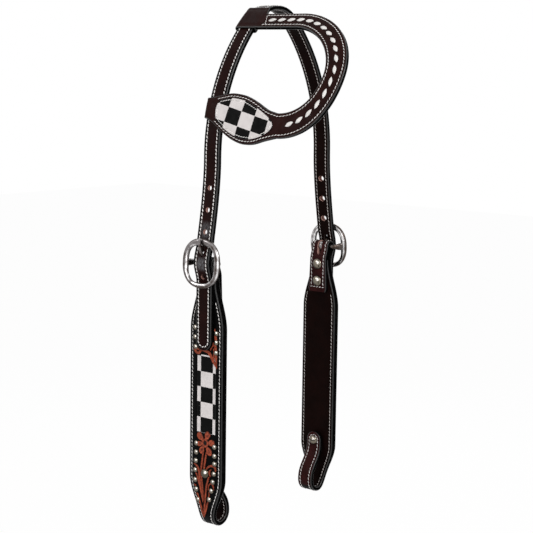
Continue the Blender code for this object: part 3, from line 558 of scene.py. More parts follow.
# The thread on the lining side is a dimmer white than on the face.
lining_thread_white = (0.50, 0.46, 0.44)
fine_thread_radius = 0.00028


def points_tree(name, settings):
    """A Geometry Nodes tree that takes points, settings and a material, and the outputs of its input node."""
    tree = bpy.data.node_groups.new(name, "GeometryNodeTree")
    for socket_name, kind in (("Points", "Geometry"), *settings, ("Material", "Material")):
        tree.interface.new_socket(socket_name, in_out="INPUT", socket_type="NodeSocket" + kind)
    tree.interface.new_socket("Result", in_out="OUTPUT", socket_type="NodeSocketGeometry")
    return tree, make(tree, "NodeGroupInput").outputs


def facing(tree):
    """The rotation that lays x along each point's run and z along its outward direction."""
    run, out = (make(tree, "GeometryNodeInputNamedAttribute", {"Name": name}, data_type="FLOAT_VECTOR")
                for name in ("run", "out"))
    return make(tree, "FunctionNodeAxesToRotation", {"Primary Axis": run.outputs["Attribute"],
                                                     "Secondary Axis": out.outputs["Attribute"]},
                primary_axis="X", secondary_axis="Z").outputs[0]


def set_on_points(tree, given, shape, rotation):
    """Set a shape on every point, make the copies real and give them their material."""
    points = make(tree, "GeometryNodeMeshToPoints", {"Mesh": given["Points"]}).outputs[0]
    placed = make(tree, "GeometryNodeInstanceOnPoints", {"Points": points, "Instance": shape, "Rotation": rotation})
    real = make(tree, "GeometryNodeRealizeInstances", {"Geometry": placed.outputs[0]})
    dressed = make(tree, "GeometryNodeSetMaterial", {"Geometry": real.outputs[0], "Material": given["Material"]})
    make(tree, "NodeGroupOutput", {"Result": dressed.outputs[0]})
    return tree


def seam_tree():
    """Geometry Nodes tree that sets one bent stitch on every seam point, along its run and square to the leather."""
    tree, given = points_tree("saddle_stitches", (("Stitch length", "Float"), ("Thread radius", "Float"),
                                                  ("Slant", "Float"), ("Unevenness", "Float"), ("Seed", "Int")))

    def bend_point(share, rise):
        """A point of the bend, at shares of the stitch's length and of the thread's radius."""
        return make(tree, "ShaderNodeCombineXYZ", {0: both(tree, "MULTIPLY", given["Stitch length"], share),
                                                   2: both(tree, "MULTIPLY", given["Thread radius"], rise)}).outputs[0]

    bend = make(tree, "GeometryNodeCurveQuadraticBezier", {
        "Resolution": 6, "Start": bend_point(-0.5, -0.9), "Middle": bend_point(0, 1.9), "End": bend_point(0.5, -0.9)})
    circle = make(tree, "GeometryNodeCurvePrimitiveCircle", {"Resolution": 7, "Radius": given["Thread radius"]})
    along = make(tree, "GeometryNodeSplineParameter").outputs["Factor"]
    swell = both(tree, "POWER", both(tree, "SINE", both(tree, "MULTIPLY", along, math.pi)), 0.4)
    body = make(tree, "GeometryNodeCurveToMesh", {
        "Curve": bend.outputs[0], "Profile Curve": circle.outputs[0], "Fill Caps": True,
        "Scale": both(tree, "ADD", both(tree, "MULTIPLY", swell, 0.5), 0.55)})
    chance = make(tree, "FunctionNodeRandomValue", {2: -1, 3: 1, "Seed": given["Seed"]}, data_type="FLOAT").outputs[1]
    slant = both(tree, "ADD", given["Slant"], both(tree, "MULTIPLY", chance, given["Unevenness"]))
    turn = make(tree, "FunctionNodeAxisAngleToRotation", {"Axis": (0, 0, 1), "Angle": slant})
    turned = make(tree, "FunctionNodeRotateRotation", {"Rotation": facing(tree), "Rotate By": turn.outputs[0]},
                  rotation_space="LOCAL")
    return set_on_points(tree, given, body.outputs[0], turned.outputs[0])


def waxed_thread(name, colour):
    """Waxed thread, slightly soiled in places."""
    made, tree, shader, place = blank_finish(name)
    soil = ranged(tree, noise(tree, place, 380, 3), 0.35, 0.65)
    fill(tree, shader, {"Base Color": mixed(tree, soil, scaled(colour, 0.72), scaled(colour, 1.1)), "Roughness": 0.55})
    bumped(tree, shader, noise(tree, place, 2600, 2), 0.4, 0.0001)
    return made


def instanced(name, tree, places, settings):
    """Run a tree on points with a run and an outward direction, and keep the result as a plain mesh."""
    mesh = bpy.data.meshes.new(name + "_points")
    mesh.from_pydata([place for place, _, _ in places], [], [])
    for attribute, column in (("run", 1), ("out", 2)):
        stored = mesh.attributes.new(attribute, "FLOAT_VECTOR", "POINT")
        for index, row in enumerate(places):
            stored.data[index].vector = row[column]
    piece = bpy.data.objects.new(name, mesh)
    bpy.context.scene.collection.objects.link(piece)
    nodes = piece.modifiers.new("made", "NODES")
    nodes.node_group = tree
    for socket in tree.interface.items_tree:
        if socket.in_out == "INPUT" and socket.name in settings:
            nodes[socket.identifier] = settings[socket.name]
    applied(piece)
    piece.data.shade_smooth()
    return piece


def spaced(curve, pitch):
    """Points a pitch apart along a curve of (place, outward), each with its run and outward direction."""
    reached = station_lengths(curve)
    count = max(1, round(reached[-1] / pitch))
    found = []
    i = 0
    for index in range(count):
        distance = reached[-1] * (index + 0.5) / count
        while reached[i + 1] < distance:
            i += 1
        share = (distance - reached[i]) / (reached[i + 1] - reached[i])
        found.append((curve[i][0].lerp(curve[i + 1][0], share), (curve[i + 1][0] - curve[i][0]).normalized(),
                      curve[i][1].lerp(curve[i + 1][1], share).normalized()))
    return found


def on_layer(stations, reached, bend, faces_out, line):
    """Points on a layer's grain side, with their outward directions, for a line of (across, distance)."""
    found = []
    for across_by, distance in line:
        i = max(0, min(len(reached) - 2, next((k for k in range(len(reached)) if reached[k] >= distance),
                                               len(reached) - 1) - 1))
        share = (distance - reached[i]) / (reached[i + 1] - reached[i])
        first, second = stations[i], stations[i + 1]
        centre = first[0].lerp(second[0], share)
        across = first[1].lerp(second[1], share).normalized()
        outward = first[2].lerp(second[2], share).normalized()
        inner = first[4] + (second[4] - first[4]) * share
        outer = first[5] + (second[5] - first[5]) * share
        height = outer if faces_out else inner
        rise = 0.001 if faces_out else -0.001
        place = bend(centre + across * across_by + outward * height)
        above = bend(centre + across * across_by + outward * (height + rise))
        found.append((place, (above - place).normalized()))
    return found


thread_finish = waxed_thread("waxed_white_thread", thread_white)
stitches = seam_tree()
stitch_settings = {"Stitch length": stitch_length, "Thread radius": thread_radius, "Slant": stitch_slant,
                   "Unevenness": math.radians(5), "Seed": 3, "Material": thread_finish}
fine_settings = dict(stitch_settings, **{"Thread radius": fine_thread_radius})
lining_settings = dict(fine_settings, **{"Material": waxed_thread("dimmer_white_thread", lining_thread_white)})


def crown_seam_line(stations):
    """The closed seam round the whole crown strap, as (across, distance): up one edge and down the other."""
    whole = station_lengths(stations)[-1]
    side = strap_half_width - strap_seam_inset
    turn_at = strap_tip_length
    line = []
    for end in (0, 1):
        for step in range(25):
            turn = math.pi * (end + step / 24)
            from_tip = turn_at - (strap_tip_length - strap_seam_inset) * math.sin(math.pi * step / 24)
            line.append((-side * math.cos(turn), from_tip if end == 0 else whole - from_tip))
        if end == 0:
            line += [(side, turn_at + (whole - 2 * turn_at) * step / 400) for step in range(1, 400)]
    line += [(-side, whole - turn_at - (whole - 2 * turn_at) * step / 400) for step in range(1, 401)]
    return line


for name, faces_out, settings in (("crown_face", True, stitch_settings), ("crown_lining", False, lining_settings)):
    stations = crown_layers[name]
    curve = on_layer(stations, station_lengths(stations), unbent, faces_out, crown_seam_line(stations))
    rows = spaced(curve, stitch_pitch)
    thread = instanced(name + "_stitches", stitches, rows, settings)
    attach(thread, "headstall")

# Ear piece: one cut of dark brown leather on a thinner lining. It turns round the crown strap as a loop at
# both ends, runs forward as a band round the ear, and comes back as a wide lobe. It slides on the strap.
ear_layer = 0.0018
ear_lining_low = strap_thickness - ear_layer
ear_face_low = strap_thickness + 0.0001
ear_face_high = strap_thickness + 0.0003 + ear_layer
ear_top_drop = 0.009
ear_top_width = 0.016
ear_band_width = 0.0204
ear_turn_x = 0.057
ear_front = (0.1172, 0.061)
ear_bottom = (0.070, 0.1055)
ear_upper_swing = 0.027
ear_lower_swing = 0.026
lobe_height = 0.0395
lobe_loop_x = 0.0072
loop_width = 0.0174
loop_drop_on_strap = 0.0932
loop_turn_radius = 0.0022
loop_turn_x = 0.0076
loop_flap = 0.0085
loop_outer_end = 0.0105
ear_seam_inset = 0.0027
ear_lining_start = 0.0119
seam_first_x = 0.0165
seam_last_x = 0.003
lobe_shares = ((0.0, 0.258, -0.258), (0.155, 0.332, -0.327), (0.31, 0.476, -0.408), (0.45, 0.585, -0.415),
               (0.58, 0.63, -0.352), (0.69, 0.64, -0.256), (0.80, 0.605, -0.127), (0.905, 0.56, 0.0),
               (1.0, 0.531, 0.091))
ear_brown = (0.0150, 0.0038, 0.0030)


def on_side_arc(local):
    """Where a point of the ear piece lies: x, drop along the right side's arc, height above its underside."""
    angle = shoulder_angle + local.y / side_radius
    reach = side_radius + local.z
    return Vector((local.x, -(side_centre_width + reach * math.sin(angle)),
                   reach * math.cos(angle) - side_centre_drop))


def lobe_edges(share):
    """Upper and lower edge of the lobe, as drops, at a share of the way to its loop."""
    rows = lobe_shares
    i = next((k for k in range(len(rows) - 1) if share <= rows[k + 1][0]), len(rows) - 2)
    before, here, there, after = rows[max(i - 1, 0)], rows[i], rows[i + 1], rows[min(i + 2, len(rows) - 1)]
    span = there[0] - here[0]
    t = min((share - here[0]) / span, 1)
    edges = []
    for column in (1, 2):
        slope_here = (there[column] - before[column]) / (there[0] - before[0])
        slope_there = (after[column] - here[column]) / (after[0] - here[0])
        value = ((2 * t ** 3 - 3 * t ** 2 + 1) * here[column] + (t ** 3 - 2 * t ** 2 + t) * span * slope_here
                 + (-2 * t ** 3 + 3 * t ** 2) * there[column] + (t ** 3 - t ** 2) * span * slope_there)
        edges.append(ear_bottom[1] - lobe_height * value)
    return edges


def lobe_x(share):
    """Place along x at a share of the way from the band to the lobe's loop."""
    return ear_bottom[0] + (-lobe_loop_x - ear_bottom[0]) * share


def ear_cut():
    """The flat cut of the ear piece: centre, direction across to the outside and half width, band then lobe."""
    found = [(Vector((ear_lining_start + (ear_turn_x - ear_lining_start) * step / 20, ear_top_drop, 0)),
              Vector((0, -1, 0)), ear_top_width / 2) for step in range(21)]
    upper = bezier_points((ear_turn_x, ear_top_drop, 0), (ear_upper_swing, 0, 0), (*ear_front, 0),
                          (0, ear_upper_swing, 0), 48)
    lower = bezier_points((*ear_front, 0), (0, ear_lower_swing, 0), (*ear_bottom, 0), (-ear_lower_swing, 0, 0), 44)
    for index, (point, slope) in enumerate(upper):
        share = (index + 1) / len(upper)
        width = ear_top_width + (ear_band_width - ear_top_width) * share * share * (3 - 2 * share)
        found.append((point, Vector((slope.y, -slope.x, 0)), width / 2))
    found += [(point, Vector((slope.y, -slope.x, 0)), ear_band_width / 2) for point, slope in lower]
    for step in range(1, 61):
        top, bottom = lobe_edges(step / 60)
        found.append((Vector((lobe_x(step / 60), (top + bottom) / 2, 0)), Vector((0, 1, 0)), (bottom - top) / 2))
    return found


up = Vector((0, 0, 1))


def eased(share):
    """Ease from 0 to 1."""
    held = min(max(share, 0), 1)
    return held * held * (3 - 2 * held)


def strap_loop(drop, width, turn, flap):
    """Stations of a loop round the crown strap, from the front of the band round the back to the front again.
    Its outer leaf is wider than the rest by a flap along its upper edge."""
    spine = [(Vector((loop_turn_x + loop_turn_radius, drop, ear_face_low)), across_x)]
    for centre_x, first, last, steps in ((loop_turn_x, 0, -0.5, 7), (-loop_turn_x, -0.5, -1.5, 14)):
        for step in range(steps + 1):
            angle = math.pi * (first + (last - first) * step / steps)
            out = Vector((math.cos(angle), 0, math.sin(angle)))
            spine.append((Vector((centre_x, drop, strap_thickness / 2)) + out * loop_turn_radius, out))
    found = []
    for index, (centre, out) in enumerate(spine):
        wider = flap / 2 * eased((index - 13) / 9)
        found.append((centre - Vector((0, wider, 0)), Vector((0, turn, 0)), out, width / 2 + wider, 0, ear_layer))
    if flap:
        at = Vector((loop_outer_end, drop - flap / 2, ear_face_low))
        found.append((at, Vector((0, turn, 0)), up, (width + flap) / 2, 0, ear_layer))
    return found


ear_cut_rows = ear_cut()
ear_band = [(centre, across, up, half, ear_face_low, ear_face_high) for centre, across, half in ear_cut_rows]
ear_stations = strap_loop(ear_top_drop, ear_top_width, -1, loop_flap)
ear_stations += [(centre - Vector((0, loop_flap / 2, 0)), across, out, half + loop_flap / 2, low, high)
                 for centre, across, out, half, low, high in ear_band[:2]] + ear_band[2:]
ear_stations += strap_loop(loop_drop_on_strap, loop_width, 1, 0)[::-1]
ear_backing = [(centre, across, up, half, ear_lining_low, strap_thickness) for centre, across, half in ear_cut_rows]
ear_finish = tanned("ear_brown_leather", ear_brown)
for name, stations, faces_out, finish, slot in (
        ("ear_face", ear_stations, True, ear_finish, "ear_leather"),
        ("ear_lining", ear_backing, False, lining_finish, "dark_lining")):
    layer = hide_from_stations("sewn_" + name, stations, on_side_arc, faces_out, ear_seam_inset, finish)
    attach(layer, "ear_piece")
    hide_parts(name)

ear_rows = []
band_reached = station_lengths(ear_band)
band_start = next(r for r, row in zip(band_reached, ear_band) if row[0].x > seam_first_x)
band_end = next(r for r, row in zip(band_reached[120:], ear_band[120:]) if row[0].x < seam_last_x)


def edge_line(stations, reached, edge, start, end, inset):
    """A line of (across, distance) a fixed way in from one edge of a layer."""
    return [(edge * (row[3] - inset), r) for row, r in zip(stations, reached) if start <= r <= end]


for faces_out, stations in ((True, ear_band), (False, ear_backing)):
    for edge in (-1, 1):
        line = edge_line(stations, band_reached, edge, band_start, band_end, ear_seam_inset)
        ear_rows += spaced(on_layer(stations, band_reached, on_side_arc, faces_out, line), stitch_pitch)
    side = ear_top_width / 2 - ear_seam_inset
    closing = [(side * (1 - 2 * step / 12), band_start + 0.004 * step / 12) for step in range(13)]
    ear_rows += spaced(on_layer(stations, band_reached, on_side_arc, faces_out, closing), stitch_pitch)
ear_thread = instanced("ear_stitches", stitches, ear_rows, fine_settings)
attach(ear_thread, "ear_piece")

# Checked inlay of the lobe: thin leather printed in black and white squares, glued into the lobe and held by
# its own row of thread just inside the edge. The squares run a little downhill towards the ear.
inlay_margin = 0.0043
inlay_start_share = 0.045
inlay_end_share = 0.875
inlay_nose_share = 0.19
inlay_heel_share = 0.06
inlay_height = 0.0006
inlay_thread_inset = 0.0017
inlay_thread_radius = 0.0003
inlay_stitch_length = 0.0023
inlay_borders = (0.0317, 0.0470)
inlay_first_row = 0.0953
inlay_row_height = 0.0126
inlay_tilt = math.radians(-12.5)
check_black = (0.0018, 0.0018, 0.0018)
check_white = (0.66, 0.62, 0.61)


def inlay_stations(low, high):
    """Stations of the inlay, from its nose at the band to its heel at the loop."""
    found = []
    steps = 64
    for step in range(steps + 1):
        turn = math.pi * step / steps
        along = (1 - math.cos(turn)) / 2
        share = inlay_start_share + (inlay_end_share - inlay_start_share) * along
        top, bottom = lobe_edges(share)
        nose = math.sqrt(max(0, 1 - (1 - min(along / inlay_nose_share, 1)) ** 2))
        heel = math.sqrt(max(0, 1 - (max(along - 1 + inlay_heel_share, 0) / inlay_heel_share) ** 2))
        half = max(((bottom - top) / 2 - inlay_margin) * nose * heel, 0.0003)
        found.append((Vector((lobe_x(share), (top + bottom) / 2, 0)), Vector((0, 1, 0)), up, half, low, high))
    return found


def checked(name, across_edges, first_row, row_height, tilt):
    """Printed checks on thin leather, from its flat layout in metres: the squares' borders across and down."""
    made, tree, shader, place = blank_finish(name)
    layout = make(tree, "ShaderNodeUVMap", uv_map="flat").outputs[0]
    moved = make(tree, "ShaderNodeMapping", {"Vector": layout, "Location": (-across_edges[0], -first_row, 0)})
    tilted = make(tree, "ShaderNodeMapping", {"Vector": moved.outputs[0], "Rotation": (0, 0, tilt)})
    parts = make(tree, "ShaderNodeSeparateXYZ", {0: tilted.outputs[0]}).outputs
    ragged = ranged(tree, noise(tree, place, 900, 3), 0.2, 0.8, -0.00012, 0.00012)
    waves = []
    for axis, size in (("X", across_edges[1] - across_edges[0]), ("Y", row_height)):
        squares = both(tree, "DIVIDE", both(tree, "ADD", parts[axis], ragged), size)
        waves.append(both(tree, "SINE", both(tree, "MULTIPLY", squares, math.pi)))
    is_black = ranged(tree, both(tree, "MULTIPLY", *waves), 0.004, -0.004)
    soil = noise(tree, place, 160, 4)
    white = mixed(tree, ranged(tree, soil, 0.4, 0.8), check_white, scaled(check_white, 0.88))
    black = mixed(tree, ranged(tree, soil, 0.3, 0.7), check_black, scaled(check_black, 1.8))
    fill(tree, shader, {"Base Color": mixed(tree, is_black, white, black), "Specular IOR Level": 0.04,
                        "Roughness": ranged(tree, noise(tree, place, 240, 3), 0.3, 0.7, 0.42, 0.6)})
    pores = make(tree, "ShaderNodeTexVoronoi", {"Scale": 1900, "Vector": place}).outputs["Distance"]
    bumped(tree, shader, pores, 0.15, 0.00015, bumped(tree, shader, noise(tree, place, 300, 4), 0.15, 0.0004))
    return made


def flat_layout(piece, stations):
    """A layout map that holds each corner's own x and drop, for a pattern printed on the flat leather."""
    flat = piece.data.uv_layers.new(name="flat")
    lay = piece.data.uv_layers["lay"]
    reached = station_lengths(stations)
    for loop in piece.data.loops:
        across_by, along = lay.data[loop.index].uv
        i = next((k for k in range(len(reached) - 1) if reached[k + 1] >= along - 1e-7), len(reached) - 2)
        share = min(1, max(0, (along - reached[i]) / (reached[i + 1] - reached[i])))
        centre = stations[i][0].lerp(stations[i + 1][0], share) + stations[i][1] * across_by
        flat.data[loop.index].uv = (centre.x, centre.y)


inlay_low = ear_face_high + 0.00002
inlay_rows = inlay_stations(inlay_low, inlay_low + inlay_height)
inlay_finish = checked("checked_ear_leather", inlay_borders, inlay_first_row, inlay_row_height, inlay_tilt)
inlay = hide_from_stations("checked_ear_inlay", inlay_rows, on_side_arc, True, inlay_thread_inset, inlay_finish)
flat_layout(inlay, inlay_rows)
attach(inlay, "ear_piece")
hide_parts("ear_inlay")


def inlay_thread_line():
    """The closed row of thread on the inlay, a fixed way in from its outline: place and outward direction."""
    outline = [row[0] - row[1] * row[3] for row in inlay_rows]
    outline += [row[0] + row[1] * row[3] for row in inlay_rows[::-1]]
    found = []
    for index, point in enumerate(outline):
        run = (outline[(index + 2) % len(outline)] - outline[index - 2]).normalized()
        inside = point + Vector((run.y, -run.x, 0)) * inlay_thread_inset
        place = on_side_arc(inside + up * (inlay_low + inlay_height))
        found.append((place, (on_side_arc(inside + up * (inlay_low + inlay_height + 0.001)) - place).normalized()))
    return found + found[:1]


inlay_thread = instanced("ear_inlay_stitches", stitches, spaced(inlay_thread_line(), stitch_pitch * 0.82),
                         dict(stitch_settings, **{"Stitch length": inlay_stitch_length,
                                                   "Thread radius": inlay_thread_radius}))
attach(inlay_thread, "ear_piece")

# Buckstitch lacing: one flat white rawhide lace, woven through slits along the middle of the band, so that it
# shows as eighteen slanted lozenges, each pulled down into its two slits.
lace_count = 18
lace_length = 0.0070
lace_width = 0.0041
lace_height = 0.0009
lace_slant = 0.0011
lace_first_x = 0.0255
lace_last_x = 0.0845
lace_white = (0.74, 0.715, 0.69)


def lace_finish_made():
    """White rawhide: waxy, faintly fibrous, a little dirty in places."""
    made, tree, shader, place = blank_finish("white_rawhide")
    soil = ranged(tree, noise(tree, place, 260, 4), 0.45, 0.8)
    fill(tree, shader, {"Base Color": mixed(tree, soil, lace_white, scaled(lace_white, 0.75)), "Roughness": 0.5})
    bumped(tree, shader, noise(tree, place, 1500, 4), 0.3, 0.0001)
    return made


def lace_places():
    """Where each showing length of lace lies: place, run and outward direction."""
    first = next(r for r, row in zip(band_reached, ear_band) if row[0].x >= lace_first_x)
    last = next(r for r, row in zip(band_reached[40:], ear_band[40:]) if row[0].x <= lace_last_x and row[0].y > 0.05)
    found = []
    for index in range(lace_count):
        distance = first + (last - first) * index / (lace_count - 1)
        (place, out), (ahead, _) = on_layer(ear_band, band_reached, on_side_arc, True,
                                            [(0, distance), (0, distance + 0.001)])
        found.append((place, (ahead - place).normalized(), out))
    return found


def lace_tree():
    """Geometry Nodes tree that lays one domed, slanted lozenge of lace on every point."""
    tree, given = points_tree("buckstitch_lacing", (("Length", "Float"), ("Width", "Float"), ("Height", "Float"),
                                                    ("Slant", "Float")))
    number = partial(both, tree)

    def outness(value, power):
        """How far out a place is, from 0 in the middle to 1 at the edge, raised to a power."""
        return number("POWER", number("ABSOLUTE", number("MULTIPLY", value, 2.0)), power)

    sheet = make(tree, "GeometryNodeMeshGrid", {"Size X": 1, "Size Y": 1, "Vertices X": 9, "Vertices Y": 7}).outputs[0]
    where = make(tree, "GeometryNodeInputPosition").outputs[0]
    x, y, _ = make(tree, "ShaderNodeSeparateXYZ", {0: where}).outputs
    ends, sides = (number("MAXIMUM", number("SUBTRACT", 1, outness(value, power)))
                   for value, power in ((x, 3.0), (y, 2.6)))
    rise = number("SUBTRACT", number("MULTIPLY", number("POWER", number("MULTIPLY", ends, sides), 0.45), 1.15), 0.25)
    narrow = number("SUBTRACT", 1, number("MULTIPLY", outness(x, 2.0), 0.58))
    slanted = number("ADD", number("MULTIPLY", x, given["Length"]),
                     number("MULTIPLY", number("MULTIPLY", y, 2.0), given["Slant"]))
    placed = make(tree, "ShaderNodeCombineXYZ", {
        0: slanted, 1: number("MULTIPLY", number("MULTIPLY", y, narrow), given["Width"]),
        2: number("MULTIPLY", rise, given["Height"])}).outputs[0]
    shaped = make(tree, "GeometryNodeSetPosition", {"Geometry": sheet, "Position": placed}).outputs[0]
    flat = make(tree, "ShaderNodeVectorMath", {0: placed, 1: (1, 1, 0)}, operation="MULTIPLY").outputs[0]
    sunk = make(tree, "ShaderNodeCombineXYZ", {2: number("MULTIPLY", given["Height"], -0.25)}).outputs[0]
    lowered = make(tree, "ShaderNodeVectorMath", {0: flat, 1: sunk}, operation="ADD").outputs[0]
    under = make(tree, "GeometryNodeSetPosition", {"Geometry": sheet, "Position": lowered}).outputs[0]
    stacked = make(tree, "GeometryNodeJoinGeometry")
    for part in (make(tree, "GeometryNodeFlipFaces", {0: under}).outputs[0], shaped):
        tree.links.new(part, stacked.inputs[0])
    welded = make(tree, "GeometryNodeMergeByDistance", {"Geometry": stacked.outputs[0], "Distance": 0.00002})
    return set_on_points(tree, given, welded.outputs[0], facing(tree))


lacing = instanced("laced_buckstitches", lace_tree(), lace_places(),
                   {"Length": lace_length, "Width": lace_width, "Height": lace_height, "Slant": lace_slant,
                    "Material": lace_finish_made()})
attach(lacing, "ear_piece")
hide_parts("ear_lacing")

# Buckles: one on each side, cast and polished stainless steel. A round-cornered flat frame stands in front of its
# centre bar, whose ends are bent out to it, and a tongue is wrapped round the bar.
frame_width = 0.042
frame_squareness = 2.35
outline_steps = 1440
frame_ring_count = 150
bar_straight = 0.0114
bar_flare = 0.75
corner_slim = 0.16
low_slim = 0.28
tongue_radius = 0.0013
tongue_hub_half = 0.0021
tongue_overhang = 0.0012
# Steel tones: the bright metal, and the grey and brown-black laid into it as painted reflections, the darkest also as a
# smoky stain in the outer bevel.
steel_bright = (0.80, 0.79, 0.785)
steel_painted_grey = (0.20, 0.185, 0.185)
steel_smoke_and_painted_dark = (0.055, 0.040, 0.032)
SIDES = (("right", -1), ("left", 1))


def polished_steel(name, dull):
    """Stainless steel: mirror polish with fine buffing lines, and painted reflections: bright, grey and brown-black
    bands laid into its colour by each point's own number, partly a smoky stain, broken up by noise and made darker
    overall by a given amount.
    """
    made, tree, shader, place = blank_finish(name)
    depth = map_parts(tree, "depth")["X"]
    reflection_paint = both(tree, "ADD", depth, ranged(tree, noise(tree, place, 210, 4, 0.6), 0.3, 0.7, -0.24 + dull, 0.24 + dull))
    tone = mixed(tree, ranged(tree, reflection_paint, 0.02, 0.5), steel_bright, steel_painted_grey)
    rough = ranged(tree, noise(tree, place, 900, 3), 0.3, 0.7, 0.10, 0.20)
    fill(tree, shader, {"Base Color": mixed(tree, ranged(tree, reflection_paint, 0.5, 1.0), tone, steel_smoke_and_painted_dark), "Metallic": 1,
                        "Roughness": both(tree, "ADD", rough, both(tree, "MULTIPLY", depth, 0.2))})
    buffed = make(tree, "ShaderNodeMapping", {"Vector": place, "Scale": (1, 0.2, 0.06)}).outputs[0]
    bumped(tree, shader, noise(tree, buffed, 5200, 2), 0.06, 0.00006,
           bumped(tree, shader, noise(tree, place, 130, 3), 0.22, 0.0005))
    return made


def ring_skin(name, rings, depths, surface, closed):
    """A skin over rings of points, with a number for each point that sets its painted reflection band, partly a smoky
    stain, and its roughness.
    """
    pairs = [(depth, ring / len(rings)) for ring, row in enumerate(depths) for depth in row]
    return skin_over(name, [point for ring in rings for point in ring],
                     tube_faces(len(rings), len(rings[0]), closed=closed), {"depth": pairs}, surface)


def joined(name, pieces):
    """Several meshes as one piece."""
    work = bmesh.new()
    for piece in pieces:
        work.from_mesh(piece.data)
    mesh = bpy.data.meshes.new(name)
    work.to_mesh(mesh)
    work.free()
    for surface in pieces[0].data.materials:
        mesh.materials.append(surface)
    for piece in pieces:
        bpy.data.objects.remove(piece)
    made = bpy.data.objects.new(name, mesh)
    bpy.context.scene.collection.objects.link(made)
    return made


# The rim's cut end: in or out from its middle and front or back, as shares, and how dark a painted reflection each
# place gets, partly a smoky stain, on the frame's rear and lower sides, on its forward side and along its top.
rim_section = ((1.0, 0.0, 1.0, 1.0, 1.0), (0.99, 0.30, 1.0, 0.65, 0.95), (0.90, 0.56, 1.0, 0.0, 0.80),
               (0.72, 0.80, 1.0, 0.0, 0.45), (0.50, 0.95, 1.0, 0.45, 0.25), (0.20, 1.0, 0.70, 0.78, 0.35),
               (-0.15, 0.99, 0.28, 0.80, 0.55), (-0.48, 0.90, 0.10, 0.50, 0.35), (-0.76, 0.68, 0.42, 0.0, 0.45),
               (-0.94, 0.36, 0.65, 0.30, 0.65), (-1.0, 0.0, 0.85, 0.55, 0.80), (-0.94, -0.42, 0.60, 0.60, 0.75),
               (-0.74, -0.78, 0.05, 0.30, 0.25), (-0.40, -0.97, 0.0, 0.0, 0.0), (0.0, -1.0, 0.55, 0.30, 0.50),
               (0.45, -0.96, 0.15, 0.0, 0.15), (0.78, -0.80, 0.70, 0.60, 0.60), (0.96, -0.44, 1.0, 1.0, 0.95))


def frame_outline(turn, half_width, half_height):
    """A point of the frame's outline, a square with very round corners."""
    power = 2 / frame_squareness
    return (half_width * math.copysign(abs(math.cos(turn)) ** power, math.cos(turn)),
            half_height * math.copysign(abs(math.sin(turn)) ** power, math.sin(turn)))


def frame_rings(side):
    """Rings of the frame, evenly spaced along its outline, and how dark a painted reflection each of their points gets.
    """
    half_width = (frame_width - frame_rim) / 2
    half_height = (frame_height - frame_rim) / 2
    fine = [frame_outline(2 * math.pi * (i + 0.5) / outline_steps, half_width, half_height)
            for i in range(outline_steps)]
    reached = [0.0]
    for first, second in zip(fine, fine[1:] + fine[:1]):
        reached.append(reached[-1] + math.hypot(second[0] - first[0], second[1] - first[1]))
    rings = []
    reflection_paint = []
    i = 0
    for index in range(frame_ring_count):
        distance = reached[-1] * index / frame_ring_count
        while reached[i + 1] <= distance:
            i += 1
        x, z = fine[i]
        before, after = fine[(i - 4) % outline_steps], fine[(i + 4) % outline_steps]
        radial = Vector((after[1] - before[1], 0, before[0] - after[0])).normalized()
        stand = frame_stand - frame_lean * z / half_height
        reach = math.hypot(x, z)
        slim = corner_slim * (2 * x * z / reach ** 2) ** 2 + low_slim * max(0, -z / reach) ** 2
        centre = Vector((x, side * (bar_offset + stand), z - bar_drop)) + radial * frame_rim * slim / 2
        rings.append([centre + radial * out * frame_rim * (1 - slim) / 2
                      + Vector((0, side * front * frame_depth / 2, 0)) for out, front, *_ in rim_section])
        forward = max(0, x / reach) ** 1.3
        top = max(0, z / reach) ** 1.6 * (1 - forward)
        reflection_paint.append([low * (1 - forward - top) + fore * forward + high * top for _, _, low, fore, high in rim_section])
    return rings, reflection_paint


def rod_ring(centre, first, second, radius, count):
    """Points round a rod."""
    return [centre + first * radius * math.cos(2 * math.pi * i / count)
            + second * radius * math.sin(2 * math.pi * i / count) for i in range(count)]


# The buckles' steel takes painted reflections; the tongue's are painted darker all over.
frame_finish = polished_steel("polished_stainless_steel", 0.06)
tongue_finish = polished_steel("stainless_steel_painted_darker", 0.42)


def bar_rings(side):
    """Rings of the set-back bar: straight in the fold, with its ends bent out into the frame's sides."""
    end = (frame_width - frame_rim) / 2 - frame_rim / 4
    line = [Vector((bar_straight, 0))]
    line += [point for point, _ in bezier_points((bar_straight, 0), ((end - bar_straight) * 0.3, 0),
                                                 (end, frame_stand), (0, frame_stand / 4), 14)]
    line = [Vector((-point.x, point.y)) for point in line[::-1]] + line
    rings = []
    for index, point in enumerate(line):
        run = (line[min(index + 1, len(line) - 1)] - line[max(index - 1, 0)]).normalized()
        centre = Vector((point.x, side * (bar_offset + point.y), -bar_drop))
        flare = 1 + bar_flare * eased((abs(point.x) - bar_straight) / (end - bar_straight))
        rings.append(rod_ring(centre, Vector((-run.y, side * run.x, 0)), up * flare, bar_radius, 20))
    return rings


